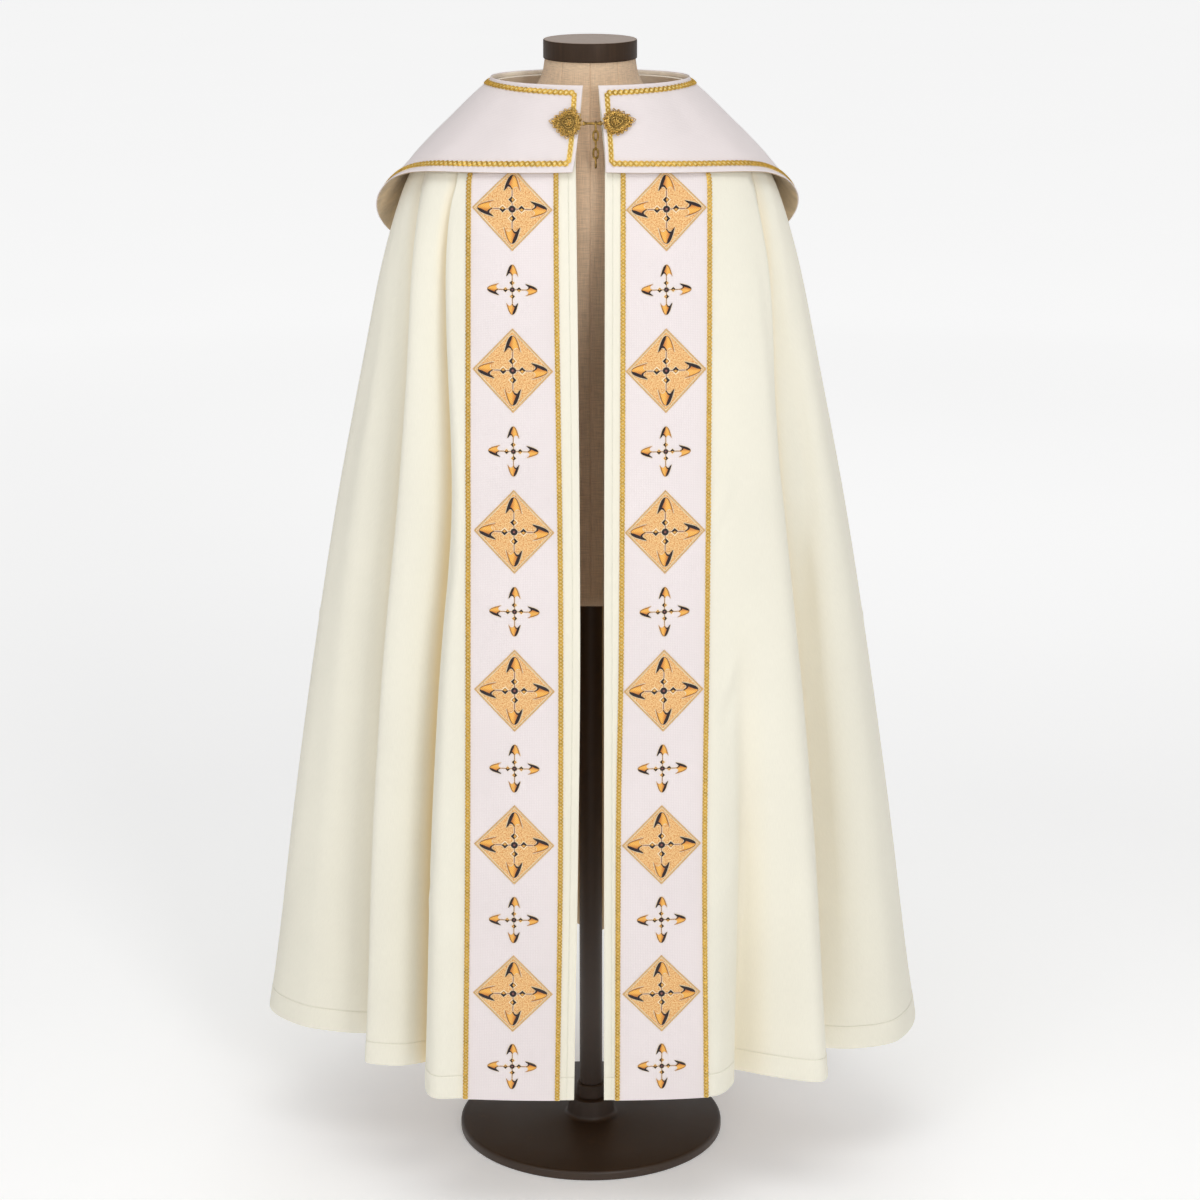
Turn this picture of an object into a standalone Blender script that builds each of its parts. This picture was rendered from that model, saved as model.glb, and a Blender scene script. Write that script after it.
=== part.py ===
"""A cope on a limbless dress form.

The cope is a half circle of cloth, cut in four gores, that hangs open in front
from the shoulders to just above the floor.  Two orphreys edged with braid run
down the fronts, and a stiff lined collar lies over the shoulders and is held
by a two-plate clasp with a chain.  The form is a linen torso on a pole.

Metres, +Z up.  The wearer's front faces -Y.  A bearing is an angle in plan, in
degrees: 0 points to the front, 90 to -X, 180 to the back and 270 to +X.
"""
import bisect
import collections
import functools
import math
from collections import namedtuple

import bmesh
import bpy
from mathutils import Matrix
from mathutils import Vector

# ---------------------------------------------------------------- driving sizes

HEM_Z = 0.177            # height of the cope's hem above the floor
NECK_Z = 1.4775          # height of the cope's neckline
COLLAR_NECK_Z = 1.4825   # height of the collar's neckline

CLOTH = 0.0020           # wall of the lined main cloth
BAND_CLOTH = 0.0010      # wall of an orphrey
BRAID_CLOTH = 0.0014     # thickness of the gold braid
BRAID_WIDTH = 0.0070
COLLAR_CLOTH = 0.0016    # wall of the stiffened collar
LINING_CLOTH = 0.0010    # wall of the collar's lining
SEAM_GAP = 0.0003        # space between two pieces that are sewn together

FLAT_MARGIN = 0.0060     # from the middle of an outer braid to the end of the flat front
CORNER_SHARE = 0.5       # how much of the left front corner's reach the flat has
COLLAR_BRAID_INSET = 0.0120   # from the collar's edge to the middle of its braid
COLLAR_SHIFT_X = -0.003       # the collar sits a little to one side

# Plain section of the cope at a height: half-width, depth to the front and to
# the back, and how square the section is (2 is an ellipse).
Section = namedtuple("Section", "height half_width front back square")
COPE_SECTIONS = (
    Section(1.4775, 0.1275, 0.0960, 0.0860, 2.0),
    Section(1.4300, 0.1755, 0.1215, 0.1060, 2.1),
    Section(1.4000, 0.2060, 0.1365, 0.1170, 2.2),
    Section(1.3750, 0.2270, 0.1475, 0.1250, 2.3),
    Section(1.3450, 0.2430, 0.1600, 0.1330, 2.35),
    Section(1.3100, 0.2560, 0.1715, 0.1420, 2.4),
    Section(1.2370, 0.2770, 0.1935, 0.1600, 2.4),
    Section(1.1150, 0.3030, 0.2240, 0.1860, 2.4),
    Section(0.9075, 0.3450, 0.2630, 0.2240, 2.4),
    Section(0.6940, 0.3810, 0.2915, 0.2600, 2.4),
    Section(0.4750, 0.4140, 0.3050, 0.2900, 2.4),
    Section(0.2500, 0.4450, 0.3100, 0.3130, 2.4),
    Section(0.1770, 0.4570, 0.3120, 0.3200, 2.4),
)

# The folds, in order round the cope from the left front to the right front.
# top, mid and hem are bearings of the fold line at three heights, reach is its
# distance from the middle at the hem, start is the height where it dies out,
# power bends its growth (under 1 it is deep soon after it starts), and faces is
# the number of faces between the line before it and this one.
Fold = namedtuple("Fold", "name top mid hem reach start power faces")
FOLDS = (
    Fold("left_front_corner", 53.5, 35.5, 34.2, 0.372, 1.20, 1.2, 2),
    Fold("left_front_return", 55.3, 40.0, 42.3, 0.340, 1.34, 0.8, 2),
    Fold("left_front_valley", 57.5, 44.5, 47.2, 0.262, 1.40, 0.6, 2),
    Fold("left_arm_rise", 60.5, 49.5, 51.6, 0.327, 1.38, 0.6, 2),
    Fold("left_arm_ridge", 66.0, 56.5, 57.5, 0.360, 1.36, 0.8, 2),
    Fold("left_side_valley", 77.0, 67.5, 67.5, 0.262, 1.40, 0.6, 4),
    Fold("left_side_rise", 84.0, 75.0, 75.3, 0.358, 1.38, 0.7, 3),
    Fold("left_side_shoulder", 88.0, 80.5, 80.5, 0.411, 1.38, 0.8, 2),
    Fold("left_side_ridge", 95.0, 91.0, 91.0, 0.455, 1.36, 1.0, 3),
    Fold("left_rear_valley_1", 106.0, 105.0, 104.0, 0.330, 1.32, 0.7, 4),
    Fold("left_rear_ridge_1", 118.0, 118.0, 117.0, 0.424, 1.30, 1.0, 4),
    Fold("left_rear_valley_2", 130.0, 130.0, 131.0, 0.275, 1.30, 0.7, 4),
    Fold("left_rear_ridge_2", 145.0, 144.0, 145.0, 0.402, 1.26, 1.0, 4),
    Fold("left_back_valley", 158.0, 157.0, 158.0, 0.258, 1.24, 0.8, 4),
    Fold("left_back_ridge", 169.0, 169.0, 170.5, 0.352, 1.20, 1.0, 4),
    Fold("centre_back", 180.0, 181.0, 181.5, 0.285, 1.20, 1.0, 3),
    Fold("right_back_ridge", 192.0, 194.0, 193.0, 0.360, 1.22, 1.0, 3),
    Fold("right_back_valley", 204.0, 206.0, 206.0, 0.262, 1.26, 0.8, 4),
    Fold("right_rear_ridge_2", 218.0, 219.0, 219.5, 0.398, 1.28, 1.0, 4),
    Fold("right_rear_valley_2", 232.0, 233.0, 233.0, 0.272, 1.30, 0.7, 4),
    Fold("right_rear_ridge_1", 245.0, 246.0, 246.0, 0.418, 1.32, 1.0, 4),
    Fold("right_rear_valley_1", 256.0, 258.0, 258.5, 0.335, 1.32, 0.7, 4),
    Fold("right_side_ridge", 266.0, 271.0, 272.0, 0.457, 1.36, 1.0, 4),
    Fold("right_side_shoulder", 275.0, 284.0, 285.5, 0.441, 1.38, 0.8, 3),
    Fold("right_side_rise", 281.0, 291.0, 292.5, 0.385, 1.38, 0.7, 2),
    Fold("right_side_valley", 287.0, 298.0, 298.5, 0.268, 1.40, 0.6, 3),
    Fold("right_arm_turn", 294.5, 307.0, 305.5, 0.392, 1.36, 0.8, 3),
    Fold("right_arm_ridge", 299.0, 311.5, 309.5, 0.401, 1.34, 1.0, 2),
    Fold("right_arm_rise", 302.5, 317.5, 314.2, 0.343, 0.85, 1.3, 2),
    Fold("right_front_notch", 304.5, 322.0, 318.5, 0.287, 0.85, 1.3, 2),
    Fold("right_front_return", 306.5, 325.5, 323.5, 0.322, 0.85, 1.3, 2),
)
SEAMS = ("left_side_valley", "centre_back", "right_side_valley")
FOLD_MID_Z = 0.90        # height of a fold's mid bearing
FOLD_TOP_Z = 1.36        # height of a fold's top bearing
LAST_FACES = 2           # faces from the last fold line to the right flat front

# Distance from the middle to the front edges and to the middle of each braid.
FrontLine = namedtuple("FrontLine", "height left_edge left_inner left_outer right_edge right_inner right_outer")
FRONT_LINES = (
    FrontLine(1.4775, 0.0095, 0.0280, 0.0800, 0.0110, 0.0280, 0.0790),
    FrontLine(1.4300, 0.0140, 0.0400, 0.1200, 0.0150, 0.0400, 0.1190),
    FrontLine(1.3920, 0.0180, 0.0428, 0.1460, 0.0190, 0.0420, 0.1450),
    FrontLine(1.3600, 0.0175, 0.0428, 0.1535, 0.0190, 0.0420, 0.1515),
    FrontLine(0.8000, 0.0125, 0.0372, 0.1545, 0.0180, 0.0400, 0.1495),
    FrontLine(0.5500, 0.0150, 0.0380, 0.1560, 0.0180, 0.0365, 0.1480),
    FrontLine(0.1770, 0.0215, 0.0436, 0.1615, 0.0180, 0.0356, 0.1530),
)
BAND_STEPS = 4           # faces across an orphrey between its two braids

COPE_ROWS = (1.4775, 1.4550, 1.4300, 1.4100, 1.3920, 1.3700, 1.3400, 1.3050, 1.2550,
             1.1900, 1.0900, 0.9700, 0.8400, 0.7000, 0.5600, 0.4200, 0.2900, 0.1770)
BAND_TOP_ROW = 4         # an orphrey starts at this row, under the collar

# The collar's lower edge: its height, and how far it stands off the cope.
CollarEdge = namedtuple("CollarEdge", "bearing height flare")
COLLAR_EDGE = (
    CollarEdge(0.0, 1.382, 0.0090),
    CollarEdge(52.0, 1.381, 0.0090),
    CollarEdge(74.0, 1.371, 0.0120),
    CollarEdge(83.0, 1.352, 0.0215),
    CollarEdge(92.0, 1.325, 0.0270),
    CollarEdge(100.0, 1.295, 0.0250),
    CollarEdge(110.0, 1.258, 0.0200),
    CollarEdge(125.0, 1.218, 0.0130),
    CollarEdge(150.0, 1.172, 0.0120),
    CollarEdge(180.0, 1.152, 0.0120),
)
COLLAR_FRONT_TOP = (0.0088, 0.0103)      # left and right front edges at the neckline
COLLAR_FRONT_FOOT = (0.0188, 0.0225)     # and at the lower edge
COLLAR_NECK_STAND = 0.0034   # how far the collar's face stands off the cope at the neck
COLLAR_STAND = 0.0070        # and over the shoulders
COLLAR_SETTLE = 0.25         # share of its fall in which it reaches that stand
COLLAR_FLARE_POWER = 5.0     # how late the collar flares out to its lower edge
COLLAR_COLUMNS = 32          # between the braids of the two front edges
COLLAR_ROWS = 6              # between the braids of the neck and the lower edge

# The dress form.
FORM_SECTIONS = (
    Section(0.795, 0.1400, 0.0950, 0.0950, 2.2),
    Section(0.805, 0.1500, 0.1050, 0.1050, 2.2),
    Section(0.870, 0.1660, 0.1180, 0.1200, 2.2),
    Section(0.950, 0.1620, 0.1160, 0.1150, 2.2),
    Section(1.070, 0.1420, 0.1030, 0.0940, 2.2),
    Section(1.190, 0.1600, 0.1180, 0.1020, 2.2),
    Section(1.290, 0.1800, 0.1240, 0.1100, 2.2),
    Section(1.345, 0.1980, 0.1160, 0.1110, 2.2),
    Section(1.375, 0.2070, 0.1060, 0.1060, 2.2),
    Section(1.393, 0.2068, 0.0960, 0.0980, 2.2),
    Section(1.405, 0.1935, 0.0900, 0.0930, 2.2),
    Section(1.422, 0.1610, 0.0830, 0.0870, 2.1),
    Section(1.440, 0.1220, 0.0740, 0.0780, 2.0),
    Section(1.455, 0.0900, 0.0670, 0.0700, 2.0),
    Section(1.472, 0.0710, 0.0620, 0.0640, 2.0),
    Section(1.490, 0.0620, 0.0590, 0.0600, 2.0),
    Section(1.508, 0.0590, 0.0580, 0.0580, 2.0),
)
FORM_SIDES = 32
FORM_Y = -0.006          # the form's middle, front to back

CAP_RADIUS = 0.0610
CAP_BOTTOM = 1.5083
CAP_HEIGHT = 0.0247
CAP_EDGE = 0.0012        # bevel round the cap's two rims
POLE_RADIUS = 0.0160
BASE_RADIUS = 0.1850
BASE_HEIGHT = 0.0140
HUB_RADIUS = 0.0330
HUB_HEIGHT = 0.0450
HUB_TAPER = 0.0030
BASE_FOOT_EDGE = 0.0020  # bevel where the base meets the floor
BASE_RIM_EDGE = 0.0050   # bevel round the base's top
HUB_SPREAD = 0.0060      # the hub's fillet: how far it spreads over the base
HUB_FILLET = (0.0040, 0.0100)    # and how high its foot and its top stand on it
ROUND_SIDES = 36

# The clasp.
PLATE_THICKNESS = 0.0024
PLATE_LIFT = 0.0024      # from the collar's face to the back of a plate
Plate = namedtuple("Plate", "name x height half_width half_height")
PLATES = (
    Plate("clasp_plate_left", -0.0265, 1.4355, 0.0172, 0.0215),
    Plate("clasp_plate_right", 0.0325, 1.4365, 0.0175, 0.0185),
)
PLATE_TIP = 0.0085       # a plate's point stands this far past its lobes
PLATE_TIP_POWER = 14     # how narrow the point is
PLATE_LOBES = 12
PLATE_LOBE_DEPTH = 0.045
PLATE_SIDES = 36
# A plate's relief from its back to its boss: share of the outline, and the rise
# as a share of the plate's thickness.
PlateLevel = namedtuple("PlateLevel", "share rise")
PLATE_LEVELS = (
    PlateLevel(1.00, 0.0),
    PlateLevel(1.00, 0.6),
    PlateLevel(0.90, 1.0),
    PlateLevel(0.62, 0.7),
    PlateLevel(0.46, 1.3),
    PlateLevel(0.20, 1.9),
)
WIRE_RADIUS = 0.0011
LINK_LENGTH = 0.0160
LINK_WIDTH = 0.0082
LINK_COUNT = 5
WIRE_GAP = 0.0003
CHAIN_X = 0.0074
EYE_RADIUS = 0.0027

# ------------------------------------------------------------------- materials

COLOURS = {
    "cream_cloth": (0.84, 0.80, 0.68),
    "white_cloth": (0.82, 0.79, 0.80),
    "gold_braid": (0.72, 0.50, 0.16),
    "taupe_satin": (0.33, 0.24, 0.15),
    "linen": (0.70, 0.54, 0.36),
    "brown_lacquer": (0.055, 0.036, 0.024),
    "antique_brass": (0.36, 0.22, 0.07),
}
METALS = {"gold_braid": 0.6, "antique_brass": 1.0, "brown_lacquer": 0.0}
ROUGHNESS = {"gold_braid": 0.4, "antique_brass": 0.42, "brown_lacquer": 0.45, "taupe_satin": 0.5}


def new_material(object_name, finish):
    """One Principled material for one object."""
    material = bpy.data.materials.new(object_name)
    material.use_nodes = True
    shader = material.node_tree.nodes["Principled BSDF"]
    shader.inputs["Base Color"].default_value = (*COLOURS[finish], 1.0)
    shader.inputs["Metallic"].default_value = METALS.get(finish, 0.0)
    shader.inputs["Roughness"].default_value = ROUGHNESS.get(finish, 0.85)
    return material


# --------------------------------------------------------------------- helpers

def clear_scene():
    for thing in list(bpy.data.objects):
        bpy.data.objects.remove(thing, do_unlink=True)


def add_object(name, mesh_data, finish, parent, smooth=True):
    thing = bpy.data.objects.new(name, mesh_data)
    bpy.context.scene.collection.objects.link(thing)
    thing.data.materials.append(new_material(name, finish))
    thing.parent = parent
    if smooth and thing.type == "MESH":
        thing.data.shade_smooth()
        thing.data.set_sharp_from_angle(angle=math.radians(40))
    return thing


def mesh_from(bm, name):
    bmesh.ops.recalc_face_normals(bm, faces=bm.faces)
    mesh_data = bpy.data.meshes.new(name)
    bm.to_mesh(mesh_data)
    bm.free()
    return mesh_data


class Curve:
    """Smooth curve through rising xs that never overshoots a row of its table."""

    def __init__(self, xs, ys):
        self.xs = [float(x) for x in xs]
        self.ys = [float(y) for y in ys]
        self.steps = [high - low for low, high in zip(self.xs, self.xs[1:])]
        slopes = [(high - low) / step for low, high, step in zip(self.ys, self.ys[1:], self.steps)]
        self.tangents = [slopes[0]]
        for i in range(1, len(slopes)):
            before = 2.0 * self.steps[i] + self.steps[i - 1]
            after = self.steps[i] + 2.0 * self.steps[i - 1]
            if slopes[i] * slopes[i - 1] > 0.0:
                self.tangents.append((before + after) / (before / slopes[i - 1] + after / slopes[i]))
            else:
                self.tangents.append(0.0)
        self.tangents.append(slopes[-1])

    def __call__(self, x):
        x = min(max(x, self.xs[0]), self.xs[-1])
        cell = min(bisect.bisect_right(self.xs, x) - 1, len(self.steps) - 1)
        width = self.steps[cell]
        t = (x - self.xs[cell]) / width
        rise = t * t * (3.0 - 2.0 * t)
        leave = t * (1.0 - t) ** 2 * width
        arrive = -t * t * (1.0 - t) * width
        return (self.ys[cell] * (1.0 - rise) + self.ys[cell + 1] * rise
                + leave * self.tangents[cell] + arrive * self.tangents[cell + 1])


@functools.lru_cache(maxsize=None)
def table_curve(table, name, over):
    """A table's named column as a curve over another of its columns."""
    rows = sorted(table, key=lambda row: getattr(row, over))
    return Curve([getattr(row, over) for row in rows], [getattr(row, name) for row in rows])


@functools.lru_cache(maxsize=None)
def at_height(table, name, height):
    return table_curve(table, name, "height")(height)


# ------------------------------------------------------------ the cope's surface

def plain_radius(bearing, height, table=COPE_SECTIONS):
    """Radius of the section without folds, at a bearing and a height."""
    angle = math.radians(bearing)
    side = "front" if math.cos(angle) > 0.0 else "back"
    power = at_height(table, "square", height)
    across = abs(math.sin(angle)) / at_height(table, "half_width", height)
    along = abs(math.cos(angle)) / at_height(table, side, height)
    return (across ** power + along ** power) ** (-1.0 / power)


def front_bearing(distance, height):
    """Bearing, from the front, of a point this far from the middle."""
    power = at_height(COPE_SECTIONS, "square", height)
    share = distance / at_height(COPE_SECTIONS, "half_width", height)
    depth = at_height(COPE_SECTIONS, "front", height) * (1.0 - share ** power) ** (1.0 / power)
    return math.degrees(math.atan2(distance, depth))


def flat_end(side, height):
    """Bearing, from the front, of the end of a flat front, just past its orphrey."""
    return front_bearing(at_height(FRONT_LINES, side + "_outer", height) + FLAT_MARGIN, height)


@functools.lru_cache(maxsize=None)
def fold_bearing(fold, height):
    """Bearing of a fold line; above FOLD_TOP_Z it keeps its share of the way round."""
    if height <= FOLD_TOP_Z:
        return Curve((HEM_Z, FOLD_MID_Z, FOLD_TOP_Z), (fold.hem, fold.mid, fold.top))(height)
    low = flat_end("left", FOLD_TOP_Z)
    high = 360.0 - flat_end("right", FOLD_TOP_Z)
    share = (fold.top - low) / (high - low)
    start = flat_end("left", height)
    end = 360.0 - flat_end("right", height)
    return start + (end - start) * share


def fold_depth(fold, height):
    """How far a fold stands out of the plain section, or into it, at a height."""
    full = fold.reach - plain_radius(fold.hem, HEM_Z)
    grown = max(0.0, (fold.start - height) / (fold.start - HEM_Z))
    return full * grown ** fold.power


@functools.lru_cache(maxsize=None)
def fold_curve(height):
    """Depth of the folds over the bearing, from one front edge round to the other."""
    left_edge = front_bearing(at_height(FRONT_LINES, "left_edge", height), height)
    right_edge = front_bearing(at_height(FRONT_LINES, "right_edge", height), height)
    bearings = [left_edge, flat_end("left", height)]
    depths = [0.0, CORNER_SHARE * fold_depth(FOLDS[0], height)]
    for fold in FOLDS:
        bearings.append(fold_bearing(fold, height))
        depths.append(fold_depth(fold, height))
    bearings += [360.0 - flat_end("right", height), 360.0 - right_edge]
    depths += [0.0, 0.0]
    return Curve(bearings, depths)


def on_section(bearing, radius, height):
    angle = math.radians(bearing)
    return Vector((-radius * math.sin(angle), -radius * math.cos(angle), height))


def cope_point(bearing, height):
    """A point of the cope's outer face."""
    radius = plain_radius(bearing, height) + fold_curve(height)(bearing)
    return on_section(bearing, radius, height)


def plain_point(bearing, height):
    """A point of the cope as it would hang without its folds."""
    return on_section(bearing, plain_radius(bearing, height), height)


def outward(surface, bearing, height):
    """Unit normal of a surface of bearing and height, away from the wearer."""
    turn = 0.2
    rise = 0.002
    around = surface(bearing + turn, height) - surface(bearing - turn, height)
    low = round(max(height - rise, HEM_Z), 6)
    high = round(min(height + rise, NECK_Z), 6)
    up = surface(bearing, high) - surface(bearing, low)
    return up.cross(around).normalized()


def lifted(bearing, height, lift):
    return cope_point(bearing, height) + outward(cope_point, bearing, height) * lift


# ------------------------------------------------------------------ cloth walls

def wall_mesh(name, grid_out, grid_in, keep=None):
    """A closed wall between an outer and an inner grid of points.

    keep says which cells of the grid belong to the wall; all do if it is left out.
    Every cell is cut along the same diagonal, so layers on one grid stay parallel.
    """
    rows = len(grid_out) - 1
    columns = len(grid_out[0]) - 1
    cells = [(i, j) for i in range(rows) for j in range(columns) if keep is None or keep(i, j)]
    bm = bmesh.new()
    made = {}

    def corner(layer, i, j):
        if (layer, i, j) not in made:
            made[layer, i, j] = bm.verts.new((grid_out, grid_in)[layer][i][j])
        return made[layer, i, j]

    edges = collections.Counter()
    for i, j in cells:
        loop = ((i, j), (i, j + 1), (i + 1, j + 1), (i + 1, j))
        for triangle in ((loop[0], loop[1], loop[2]), (loop[0], loop[2], loop[3])):
            bm.faces.new([corner(0, *place) for place in triangle])
            bm.faces.new([corner(1, *place) for place in reversed(triangle)])
        for start, end in zip(loop, loop[1:] + loop[:1]):
            edges[start, end] += 1
    for start, end in edges:
        if (end, start) not in edges:
            bm.faces.new((corner(0, *end), corner(0, *start), corner(1, *start), corner(1, *end)))
    return mesh_from(bm, name)


def cope_wall(name, finish, parent, heights, bearings_at, bottom, thickness):
    """A wall on the cope: bottom is how far its inner face lies off the cope's face."""
    faces_out = []
    faces_in = []
    for height in heights:
        bearings = bearings_at(height)
        faces_out.append([lifted(b, height, bottom + thickness) for b in bearings])
        faces_in.append([lifted(b, height, bottom) for b in bearings])
    return add_object(name, wall_mesh(name, faces_out, faces_in), finish, parent)


def front_columns(side, height):
    """Distances from the middle of the columns across one flat front."""
    edge = at_height(FRONT_LINES, side + "_edge", height)
    inner = at_height(FRONT_LINES, side + "_inner", height)
    outer = at_height(FRONT_LINES, side + "_outer", height)
    half = BRAID_WIDTH / 2.0
    span = outer - inner - BRAID_WIDTH
    inside = [inner + half + span * step / BAND_STEPS for step in range(BAND_STEPS + 1)]
    return [edge, inner - half, *inside, outer + half]


def front_bearings(side, height, first=0, last=None):
    """Bearings of those columns, in the order in which they lie round the cope."""
    columns = front_columns(side, height)[first:last]
    bearings = [front_bearing(distance, height) for distance in columns]
    if side == "right":
        bearings = [360.0 - bearing for bearing in reversed(bearings)]
    return bearings


def fold_steps(stations, faces):
    """Bearings of every column between the first and the last of these lines."""
    bearings = [stations[0]]
    for low, high, count in zip(stations, stations[1:], faces):
        for step in range(1, count + 1):
            bearings.append(low + (high - low) * step / count)
    return bearings


def seam_shift(height):
    """Half a seam's gap, as an angle at the cope's own radius."""
    return math.degrees(SEAM_GAP / 2.0 / at_height(COPE_SECTIONS, "front", height))


def gore_bearings(gore, height):
    """Bearings of one gore's columns at a height."""
    lines = [fold_bearing(fold, height) for fold in FOLDS]
    faces = [fold.faces for fold in FOLDS]
    names = [fold.name for fold in FOLDS]
    left, back, right = [names.index(name) for name in SEAMS]
    shift = seam_shift(height)
    if gore == "cope_front_left":
        run = [flat_end("left", height)] + lines[:left] + [lines[left] - shift]
        return front_bearings("left", height) + fold_steps(run, faces)
    if gore == "cope_back_left":
        run = [lines[left] + shift] + lines[left + 1:back] + [lines[back] - shift]
        return fold_steps(run, faces[left + 1:])
    if gore == "cope_back_right":
        run = [lines[back] + shift] + lines[back + 1:right] + [lines[right] - shift]
        return fold_steps(run, faces[back + 1:])
    run = [lines[right] + shift] + lines[right + 1:] + [360.0 - flat_end("right", height)]
    return fold_steps(run, faces[right + 1:] + [LAST_FACES]) + front_bearings("right", height)


def make_cope(parent):
    for gore in ("cope_front_left", "cope_back_left", "cope_back_right", "cope_front_right"):
        cope_wall(gore, "cream_cloth", parent, COPE_ROWS,
                  lambda height, gore=gore: gore_bearings(gore, height), -CLOTH, CLOTH)


def make_orphreys(parent):
    """A white band on each front, with a braid over each of its long edges."""
    heights = COPE_ROWS[BAND_TOP_ROW:]
    braid_bottom = SEAM_GAP + BAND_CLOTH + SEAM_GAP
    for side in ("left", "right"):
        cope_wall("orphrey_" + side, "white_cloth", parent, heights,
                  lambda height, side=side: front_bearings(side, height, first=1),
                  SEAM_GAP, BAND_CLOTH)
        cope_wall("braid_%s_inner" % side, "gold_braid", parent, heights,
                  lambda height, side=side: front_bearings(side, height, first=1, last=3),
                  braid_bottom, BRAID_CLOTH)
        cope_wall("braid_%s_outer" % side, "gold_braid", parent, heights,
                  lambda height, side=side: front_bearings(side, height, first=-2),
                  braid_bottom, BRAID_CLOTH)


# ------------------------------------------------------------------- the collar

def collar_edge(bearing, name):
    return table_curve(COLLAR_EDGE, name, "bearing")(min(bearing, 360.0 - bearing))


def collar_point(across, down, lift=0.0):
    """A point of the collar: across runs 0 to 1 from its left front edge, down from
    the neckline to the lower edge, and lift is measured outward from its face."""
    left = COLLAR_FRONT_TOP[0] + (COLLAR_FRONT_FOOT[0] - COLLAR_FRONT_TOP[0]) * down
    right = COLLAR_FRONT_TOP[1] + (COLLAR_FRONT_FOOT[1] - COLLAR_FRONT_TOP[1]) * down
    front_height = COLLAR_NECK_Z + (COLLAR_EDGE[0].height - COLLAR_NECK_Z) * down
    front_height = min(front_height, NECK_Z)
    start = front_bearing(left, front_height)
    end = 360.0 - front_bearing(right, front_height)
    bearing = start + (end - start) * across
    height = COLLAR_NECK_Z + (collar_edge(bearing, "height") - COLLAR_NECK_Z) * down
    settle = 1.0 - (1.0 - min(down / COLLAR_SETTLE, 1.0)) ** 2
    stand = COLLAR_NECK_STAND + (COLLAR_STAND - COLLAR_NECK_STAND) * settle
    stand += (collar_edge(bearing, "flare") - COLLAR_STAND) * down ** COLLAR_FLARE_POWER
    sample = min(height, NECK_Z)
    point = plain_point(bearing, sample) + outward(plain_point, bearing, sample) * (stand + lift)
    point.z += height - sample
    point.x += COLLAR_SHIFT_X * down ** COLLAR_FLARE_POWER
    return point


def spaced(length, count):
    """Shares of a length: its ends, both edges of a braid near each end, and count
    equal steps between the braids."""
    near = (COLLAR_BRAID_INSET - BRAID_WIDTH / 2.0) / length
    far = (COLLAR_BRAID_INSET + BRAID_WIDTH / 2.0) / length
    between = [far + (1.0 - 2.0 * far) * step / count for step in range(count + 1)]
    return [0.0, near] + between + [1.0 - near, 1.0]


def polyline_length(points):
    return sum((end - start).length for start, end in zip(points, points[1:]))


@functools.lru_cache(maxsize=None)
def collar_shares():
    """Across and down of every point of the collar's grid, by row and column.

    Near an edge the grid keeps a real distance from it, so the shares follow the
    collar's own length and fall, which are measured along plain steps first."""
    steps = [step / 24.0 for step in range(25)]
    rows = COLLAR_ROWS + 5
    columns = COLLAR_COLUMNS + 5
    falls = []
    for j in range(columns):
        across = j / (columns - 1)
        falls.append(polyline_length([collar_point(across, down) for down in steps]))
    girths = []
    for i in range(rows):
        down = i / (rows - 1)
        girths.append(polyline_length([collar_point(across, down) for across in steps]))
    downs = [spaced(fall, COLLAR_ROWS) for fall in falls]
    acrosses = [spaced(girth, COLLAR_COLUMNS) for girth in girths]
    return [[(acrosses[i][j], downs[j][i]) for j in range(columns)] for i in range(rows)]


def collar_grid(lift):
    return [[collar_point(across, down, lift) for across, down in row] for row in collar_shares()]


def make_collar(parent):
    """The stiff collar, its lining, and one braid sewn all round its face."""
    braid_foot = SEAM_GAP
    layers = (
        ("collar", "white_cloth", 0.0, COLLAR_CLOTH, None),
        ("collar_lining", "taupe_satin", -COLLAR_CLOTH - SEAM_GAP, LINING_CLOTH, None),
        ("collar_braid", "gold_braid", braid_foot + BRAID_CLOTH, BRAID_CLOTH, on_collar_braid),
    )
    for name, finish, face, thickness, keep in layers:
        mesh_data = wall_mesh(name, collar_grid(face), collar_grid(face - thickness), keep)
        add_object(name, mesh_data, finish, parent)


def on_collar_braid(i, j):
    """Whether a cell of the collar's grid lies under its braid."""
    last_row = COLLAR_ROWS + 3
    last_column = COLLAR_COLUMNS + 3
    inside = 0 < i < last_row and 0 < j < last_column
    return inside and (i in (1, last_row - 1) or j in (1, last_column - 1))


# ----------------------------------------------------------------- dress form

def ring_points(table, height, sides):
    points = []
    for i in range(sides):
        bearing = 360.0 * i / sides
        points.append(on_section(bearing, plain_radius(bearing, height, table), height))
    return points


def loft(name, rings):
    """A solid through closed rings of points, from the bottom up, with flat ends."""
    bm = bmesh.new()
    levels = [[bm.verts.new(point) for point in ring] for ring in rings]
    sides = len(levels[0])
    for low, high in zip(levels, levels[1:]):
        for i in range(sides):
            k = (i + 1) % sides
            bm.faces.new((low[i], low[k], high[k], high[i]))
    bm.faces.new(list(reversed(levels[0])))
    bm.faces.new(levels[-1])
    return mesh_from(bm, name)


def turned(name, profile, sides=ROUND_SIDES):
    """A turned solid through (radius, height) pairs, from the bottom up."""
    rings = []
    for radius, height in profile:
        ring = []
        for i in range(sides):
            angle = 2.0 * math.pi * i / sides
            ring.append(Vector((radius * math.cos(angle), radius * math.sin(angle), height)))
        rings.append(ring)
    return loft(name, rings)


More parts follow.
